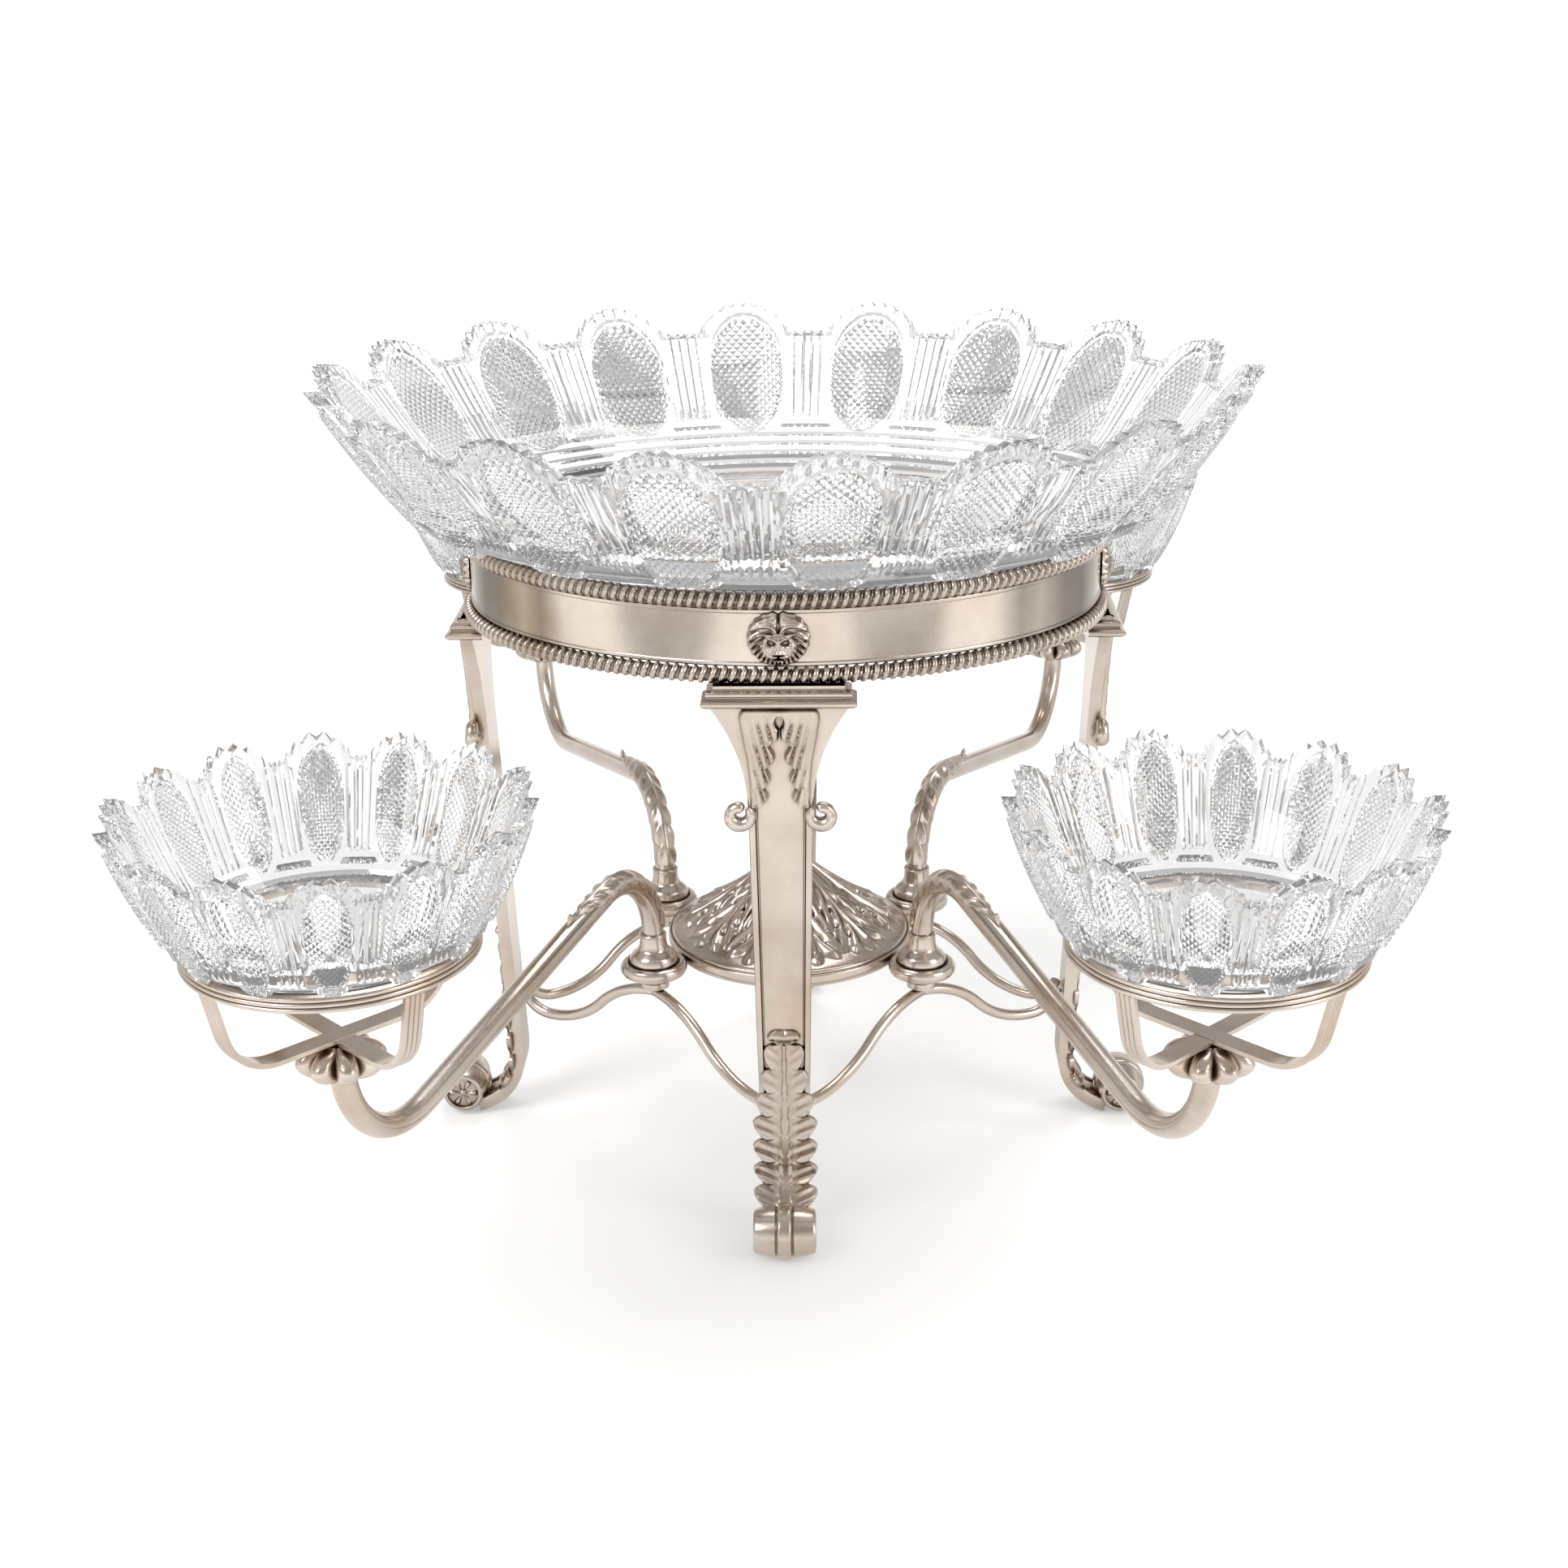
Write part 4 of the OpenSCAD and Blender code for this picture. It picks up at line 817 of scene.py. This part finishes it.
for corner in CORNERS:
    body = "swivel_arm_" + corner
    at_socket = lambda p, corner=corner: on_corner((p[0] + SOCKET_X, p[1] + SOCKET_Y, p[2]), corner)
    at_plug = lambda p, corner=corner: on_arm(p, corner)
    at_ring = lambda p, corner=corner: on_arm((p[0] + ARM_REACH, p[1], p[2]), corner)
    lathe("socket_turned_" + corner, SOCKET_LINE, at_socket, "stand", "silver", ("socket_" + corner,))
    joined([half_stretcher("wire_a_" + corner, (HALF_LENGTH - WIRE_INSET, WIRE_APART), corner),
            half_stretcher("wire_b_" + corner, (WIRE_APART, HALF_WIDTH - WIRE_INSET), corner)],
           "stretcher_wire_" + corner, "stand", ("stretcher_" + corner,))
    lathe("plug_turned_" + corner, PLUG_LINE, at_plug, body, "silver", ("plug_" + corner,))
    round_bar("scroll_arm_" + corner, ARM_PATH, ARM_R, at_plug, body, "silver", ("arm_" + corner,), sides=28)
    arm_leaf(corner)
    calyx(corner)
    joined([reeded_strap("strap_a_" + corner, math.radians(45), corner),
            reeded_strap("strap_b_" + corner, math.radians(135), corner, STRAP_SUNK)],
           "cradle_straps_reeded_" + corner, body, ("cradle_straps_" + corner,))
    lathe("cradle_ring_reeded_" + corner, reeded_ring(), at_ring, body, "silver", ("cradle_ring_" + corner,),
          steps=144)


# Legs, capitals and feet

LEG_HALF, LEG_TAPER, FLARE_OUT, FLARE_H = 11.5, 3.0, 13.5, 40.0
FLARE_R = (FLARE_OUT ** 2 + FLARE_H ** 2) / (2 * FLARE_OUT)


def leg_half_width(down):
    """Half the width of a leg at a distance down its line: a hollow flare, then an even taper."""
    flare = LEG_HALF + FLARE_R - np.sqrt(np.maximum(FLARE_R ** 2 - np.maximum(FLARE_H - down, 0) ** 2, 0))
    taper = LEG_HALF - LEG_TAPER * (down - FLARE_H) / (LEG_TOP - FLARE_H)
    return np.where(down < FLARE_H, flare, taper)


def on_leg_line(down, across, lift, side):
    """A point at a distance down the leg's line, across it and out from its middle."""
    turn = np.maximum(down - LEG_RUN, 0) / CURL_R
    x = CURL_R - (CURL_R - lift) * np.cos(turn)
    z = -np.minimum(down, LEG_RUN) - (CURL_R - lift) * np.sin(turn)
    return on_leg((x, across, z), side)


def leg(side):
    """A tapered strip with raised side fillets, curled out at the foot."""
    left = [(-1.0, 0.0), (-1.0, 1.0), (-0.97, 1.25), (-0.80, 1.25), (-0.77, 1.0), (-0.755, 0.62), (-0.72, 0.62),
            (-0.70, 0.95), (-0.66, 1.0), (-0.2, 1.06)]
    right = [(-across, level) for across, level in reversed(left)]
    section = np.array(left + right + [(1.0, -1.0), (0.0, -1.0), (-1.0, -1.0), (-1.0, 0.0)])
    rows, curl_turn, ridge_from, ridge_full = 220, math.radians(80), 30, 42
    length = LEG_RUN + CURL_R * curl_turn

    def shape(column, row):
        down = length * row / rows
        across, level = section[column].T
        ridge = smooth(ridge_from, ridge_full, down)
        level = np.where(level > 0, 1 + (level - 1) * ridge, level)
        return on_leg_line(down, across * leg_half_width(down), level * LEG_T / 2, side)

    return shaped_grid("pilaster_leg_" + side, len(section) - 1, rows, shape, "stand", "silver", ("leg_" + side,),
                       crease=30)


def capital(name, side):
    """A rectangular cap moulded on three sides."""
    profile = rounded([(-3.0, 211.9), (3.6, 211.95), (5.2, 213.0, 0.9), (5.2, 214.3, 0.9), (3.4, 215.2, 0.4),
                       (2.9, 215.6, 0.3), (3.4, 216.2, 0.6), (3.4, 217.3, 0.6), (1.2, 217.9, 0.4),
                       (0.9, 218.3, 0.2), (0.9, 219.3), (-3.0, 219.3)])
    back, front, half_w = -6.0, 3.0, 22.0
    corners = np.array([(back, -half_w), (front, -half_w), (front, half_w), (back, half_w)])
    outward = np.array([(0, -1), (1, -1), (1, 1), (0, 1)])
    facing = [(0, -1), (1, 0), (0, 1)]
    loop = []
    for i in range(4):
        loop.append((corners[i], outward[i]))
        if i < 3:
            for k in (0.02, 0.5, 0.98):
                loop.append((corners[i] * (1 - k) + corners[i + 1] * k, facing[i]))
    spots = np.array([p for p, _ in loop], float)
    ways = np.array([w for _, w in loop], float)
    count = len(loop)

    def shape(column, row):
        k = column % count
        x = spots[k, 0] + ways[k, 0] * profile[row, 0]
        y = spots[k, 1] + ways[k, 1] * profile[row, 0]
        return on_side((x, y, profile[row, 1]), side)

    return shaped_grid(name, count, len(profile) - 1, shape, "stand", "silver", crease=35)


def half_leaf(name, hand, side):
    """Half of the leaf under a capital: folds down to lobes on its inner edge, and half of a teardrop eye."""
    columns, rows, first, length = 36, 130, 0.4, 38.0
    downs = [0, 3.4, 4.2, 5.6, 7.2, 8.4, 12.0, 12.9, 14.4, 15.6, 17.5, 19.4, 21.2, 23.0, 24.2, 25.8, 27.4, 29.2,
             30.6, 32.0, 33.6, 35.2, 36.8, 38.4]
    inner = [0, 0.0, 0.75, 1.1, 0.8, 0.0, 0.15, 1.4, 3.6, 3.0, 1.7, 1.4, 2.4, 4.8, 4.2, 3.2, 3.0, 3.9, 5.8, 4.8,
             3.9, 4.2, 6.0, 8.6]
    outer_downs = [0, 0.6, 1.6, 3.0, 4.8, 12.0, 20.7, 29.5, 36.0, 38.4]
    outer = [10.6, 12.2, 13.3, 14.0, 14.2, 13.1, 11.5, 10.7, 10.7, 11.0]
    notches, ends_of_folds = [0, 7.0, 14.4, 23.0, 30.6, 38.4, 62.4], [-1, 0, 1, 2, 3, 4, 7]
    blade_h, fold_h, fold_slope, rim_w, rim_h, shoulder = 2.4, 1.1, 2.6, 0.9, 0.5, 3.2

    def shape(column, row):
        down = first + length * row / rows
        v = column / columns
        low, high = np.interp(down, downs, inner), np.interp(down, outer_downs, outer)
        across = low + (high - low) * v
        rim = np.where(down < shoulder, high - across, np.minimum(across - low, high - across))
        ends = np.sqrt(np.clip((38.5 - down) / 1.0, 0.02, 1)) * np.sqrt(np.clip((down - 0.3) / 1.2, 0.02, 1))
        inset = np.maximum(across - np.interp(down, [0, 14, 38], [0.2, 2.2, 5.0]), 0)
        turn = np.interp(down + fold_slope * inset, notches, ends_of_folds)
        fold = (np.abs(np.sin(math.pi * turn)) - 0.6) * smooth(2, 9, down) * smooth(1.1, 0.3, v)
        lift = blade_h + fold_h * fold + rim_h * smooth(5, 0, across - low)
        lift = np.sqrt(np.clip(rim / rim_w, 0, 1)) * ends * lift
        return on_leg_line(down, hand * across, LEG_T / 2 + lift, side)

    return shaped_grid(name, columns, rows, shape, "stand", "chased_silver", crease=50)


def volute(name, hand, side):
    """A small scroll that rolls out from the foot of the leaf."""
    steps, sides, eye_down, eye_across = 60, 14, 41.0, 14.6
    start, roll, outer_r, closing, proud, flat = math.radians(-40), math.radians(350), 4.1, 1.4, 0.9, 1.15

    def shape(column, row):
        t = row / steps
        turn = start + roll * t
        thick = 1.5 + 1.2 * np.sin(math.pi * np.minimum(t * 1.25, 0.85))
        thick = thick * np.minimum(1, np.sqrt((1.0 - t) * 14 + 0.001))
        angle = TAU * (column % sides) / sides
        reach = outer_r - closing * t + thick * np.cos(angle)
        lift = LEG_T / 2 + proud + thick * np.sin(angle) * flat
        return on_leg_line(eye_down + reach * np.sin(turn), hand * (eye_across - reach * np.cos(turn)), lift, side)

    return shaped_grid(name, sides, steps, shape, "stand", "silver", crease=60)


def lower_leaf(name, side):
    """A long leaf up from the foot: hollow lobes on both edges, a widening rib and a double curl at its head."""
    columns, rows = 44, 260
    start, length, neck, pitch, peak, sunk = 127.5, 77.0, 6.2, 10.1, 0.3, 0.4
    blade_h, edge_h, crease_cut, hollow_cut, rib_h = 0.9, 1.2, 0.8, 0.7, 1.0
    head_h, curl_h, dent_cut, parting_cut = 1.0, 1.4, 1.6, 0.9

    def shape(column, row):
        column = column % (2 * columns)
        under = column > columns
        v = np.where(under, 3 - 2 * column / columns, 2 * column / columns - 1)
        s = length * row / rows
        out = np.abs(v)
        grow = smooth(neck, 42, s)
        notch, lobe = 5.0 + 3.2 * grow, 7.6 + 4.6 * grow
        below = (s - neck) / pitch % 1
        round_end = np.sqrt(np.clip(1 - (1 - below / peak) ** 2, 0, 1))
        long_end = np.cos(math.pi / 2 * (below - peak) / (1 - peak))
        half = notch + (lobe - notch) * np.where(below < peak, round_end, long_end)
        curl = 6.2 * np.sqrt(np.clip(1 - ((s - 2.9) / 3.1) ** 2, 0, 1))
        half = np.where(s < neck, np.maximum(curl, 3.2 * smooth(2, 5, s)), half)
        across = half * v
        wave = np.abs(np.sin(math.pi * (s - neck + 6.5 * (out - 1)) / pitch))
        crease = (1 - wave) ** 2 * smooth(0.15, 0.4, out)
        hollow = wave ** 3 * smooth(0.2, 0.5, out) * smooth(1.0, 0.85, out)
        rib_half = 0.45 + 1.2 * smooth(neck, length, s)
        rib = smooth(rib_half + 0.4, rib_half, np.abs(across))
        blade = blade_h + edge_h * out ** 2 - crease_cut * crease - hollow_cut * hollow + rib_h * rib
        dent = np.exp(-((np.abs(across) - 4.2) / 0.7) ** 2 - ((s - 4.3) / 0.7) ** 2)
        parting = np.exp(-(across / 0.9) ** 2 - (s / 1.6) ** 2)
        head = head_h + curl_h * np.exp(-((s - 2.6) / 2.2) ** 2) - dent_cut * dent - parting_cut * parting
        edge = np.sqrt(np.clip((1 - out) * half / 0.7, 0, 1)) * np.sqrt(np.clip(s / 0.8, 0, 1))
        lift = np.where(under, -sunk, 0.1 + edge * np.where(s < neck, head, blade))
        return on_leg_line(start + s, across, LEG_T / 2 + lift, side)

    return shaped_grid(name, 2 * columns, rows, shape, "stand", "chased_silver", crease=50)


def foot(name, side):
    """A barrel on its side: two drums that taper to their ends and a round band between."""
    half = [(6.6, -10.2), (6.6, -11.6, 0.3), (7.8, -11.6, 0.3), (8.3, -10.8, 0.5), (9.1, -7.0), (9.5, -3.6),
            (8.9, -2.8, 0.2), (10.6, -2.3, 0.8)]
    profile = half + [(radius, -along, *bend) for radius, along, *bend in reversed(half)]

    def place(points):
        x, y, z = points
        return on_side((x + FOOT_OUT, z, y + FOOT_MIDDLE), side)

    return lathe(name, profile, place, "stand", "silver", steps=72)


def rosette(name, hand, side):
    """Six petals round a bead, on a disc sunk in the end of a foot."""
    spokes, rings, petals, disc_r, disc_at, disc_t = 96, 22, 6, 6.6, 10.3, 0.4
    petal_h, bead_h, bead_w = 1.2, 1.1, 0.22

    def shape(column, row):
        angle = TAU * (column % spokes) / spokes
        t = np.minimum(row, rings) / rings
        radius = disc_r * t
        petal = np.abs(np.cos(petals / 2 * angle))
        within = smooth(0.26, 0.36, t) * smooth(0.92, 0.8, t)
        lift = petal_h * smooth(0.62, 0.95, petal - 0.5 * np.abs(t - 0.62)) * within
        lift = lift + bead_h * np.sqrt(np.clip(1 - (t / bead_w) ** 2, 0, 1))
        lift = np.where(row > rings, -disc_t, lift)
        x, z = FOOT_OUT + radius * np.cos(angle), FOOT_MIDDLE + radius * np.sin(angle)
        return on_side((x, hand * (disc_at + lift), z), side)

    return shaped_grid(name, spokes, rings + 1, shape, "stand", "chased_silver", crease=60)


BOTH_HANDS = [(side, hand) for side in SIDES for hand in (-1, 1)]

for side in SIDES:
    leg(side)
joined([capital("capital_" + side, side) for side in SIDES], "capitals_moulded", "stand", ("capitals",))
joined([half_leaf("half_leaf_%s_%d" % (side, hand), hand, side) for side, hand in BOTH_HANDS]
       + [volute("volute_%s_%d" % (side, hand), hand, side) for side, hand in BOTH_HANDS],
       "upper_leaves_chased", "stand", ("upper_leaves",))
joined([lower_leaf("lower_leaf_" + side, side) for side in SIDES], "lower_leaves_chased", "stand",
       ("lower_leaves",))
joined([foot("foot_" + side, side) for side in SIDES], "foot_barrels", "stand", ("foot_scrolls",))
joined([rosette("rosette_%s_%d" % (side, hand), hand, side) for side, hand in BOTH_HANDS],
       "foot_rosettes_chased", "stand", ("foot_rosettes",))


# Stage, light and camera

def any_ray(tree, *kinds):
    """One where a ray is of any of the kinds, otherwise zero."""
    rays = put(tree, "ShaderNodeLightPath").outputs
    total = rays[kinds[0]]
    for kind in kinds[1:]:
        total = reckon(tree, "MAXIMUM", total, rays[kind])
    return total


def floor_finish():
    """Pale paper that glows for the camera, and as a lit sweep in metal and glass."""
    paper_end = 1.4
    material, tree, base = new_finish("pale_floor")
    place = put(tree, "ShaderNodeTexCoord").outputs["Object"]
    away = put(tree, "ShaderNodeVectorMath", {0: place}, operation="LENGTH").outputs["Value"]
    glow = between(tree, away, 0.3, 1.8, 0.36, 0.8, "SMOOTHSTEP")
    # Through cut facets the sweep of paper is bright in its middle and dull at its sides
    spot = put(tree, "ShaderNodeSeparateXYZ", {"Vector": place}).outputs
    spread = reckon(tree, "DIVIDE", reckon(tree, "ABSOLUTE", spot["X"]), reckon(tree, "ADD", spot["Y"], paper_end))
    sweep = between(tree, spread, 0.2, 0.5, 1.0, 0.12, "SMOOTHSTEP")
    through = reckon(tree, "MULTIPLY", sweep, any_ray(tree, "Is Transmission Ray"))
    # In metal it is bright in front and dull at both sides towards the back
    toward = put(tree, "ShaderNodeVectorMath", {0: place}, operation="NORMALIZE").outputs["Vector"]
    bearing = put(tree, "ShaderNodeSeparateXYZ", {"Vector": toward}).outputs["Y"]
    turned = reckon(tree, "MULTIPLY_ADD", bearing, 0.5, 0.5)
    front = ramp(tree, turned, [(0.30, 1.0), (0.46, 0.06), (0.88, 0.06), (0.97, 0.8)])
    mirrored = reckon(tree, "MULTIPLY_ADD", front, any_ray(tree, "Is Glossy Ray"), through)
    shown = reckon(tree, "MAXIMUM", mirrored, any_ray(tree, "Is Camera Ray"))
    feed(tree, base, {
        "Base Color": (0.82, 0.82, 0.82, 1),
        "Roughness": 0.9,
        "Specular IOR Level": 0.0,
        "Emission Color": (1, 1, 1, 1),
        "Emission Strength": reckon(tree, "MULTIPLY", glow, shown)})
    return material


def studio():
    """The floor, and a room that lights the object softly and shows pale to the camera, in metal and in glass."""
    bpy.ops.object.select_all(action="DESELECT")
    bpy.ops.mesh.primitive_plane_add(size=40, location=(0, 0, 0))
    floor = bpy.context.object
    floor.name = "floor"
    floor.data.materials.append(floor_finish())

    world = bpy.data.worlds.new("studio")
    bpy.context.scene.world = world
    world.use_nodes = True
    tree = world.node_tree
    room_light = tree.nodes["Background"]
    feed(tree, room_light, {"Color": (1.0, 0.99, 0.98, 1), "Strength": 0.45})
    way = put(tree, "ShaderNodeTexCoord").outputs["Generated"]
    height = put(tree, "ShaderNodeSeparateXYZ", {"Vector": way}).outputs["Z"]
    wall_tone = ramp(tree, height, [(0.0, 1.0), (0.2, 0.85), (0.45, 0.42), (1.0, 0.55)])
    wall = put(tree, "ShaderNodeBackground", {"Color": wall_tone})
    shown = any_ray(tree, "Is Camera Ray", "Is Glossy Ray", "Is Transmission Ray")
    room = put(tree, "ShaderNodeMixShader", {0: shown, 1: room_light.outputs[0], 2: wall.outputs[0]})
    feed(tree, tree.nodes["World Output"], {"Surface": room.outputs[0]})


def soft_box(name, place, aim, size, power):
    """A broad lamp at a place, turned to what it lights."""
    bpy.ops.object.light_add(type="AREA", location=place)
    lamp = bpy.context.object
    lamp.name = name
    lamp.data.shape = "RECTANGLE"
    lamp.data.size, lamp.data.size_y = size
    lamp.data.energy = power
    direction = np.array(aim) - np.array(place)
    yaw = math.atan2(direction[0], -direction[1])
    pitch = math.atan2(math.hypot(direction[0], direction[1]), -direction[2])
    lamp.rotation_euler = (pitch, 0, yaw + math.pi)


studio()
MIDDLE = (0, 0, 0.15)
soft_box("key_box", (-1.3, -1.2, 1.7), MIDDLE, (1.1, 1.1), 22)
soft_box("fill_box", (1.6, -0.9, 1.0), MIDDLE, (0.8, 1.2), 10)
soft_box("top_box", (0.2, 0.9, 2.1), MIDDLE, (1.6, 0.9), 18)

AWAY, ROUND, HEIGHT = 0.8625, math.radians(1.46), 0.4619
PITCH, YAW, ROLL = math.radians(20.25), math.radians(1.56), math.radians(-0.71)
aim = Matrix.Rotation(YAW, 3, "Z") @ Matrix.Rotation(math.pi / 2 - PITCH, 3, "X") @ Matrix.Rotation(ROLL, 3, "Z")
bpy.ops.object.camera_add(location=(AWAY * math.sin(ROUND), -AWAY * math.cos(ROUND), HEIGHT), rotation=aim.to_euler())
camera = bpy.context.object
camera.data.sensor_width = 36
camera.data.lens = 52.7
camera.data.clip_start = 0.01
bpy.context.scene.camera = camera
bpy.context.scene.view_settings.view_transform = "Standard"
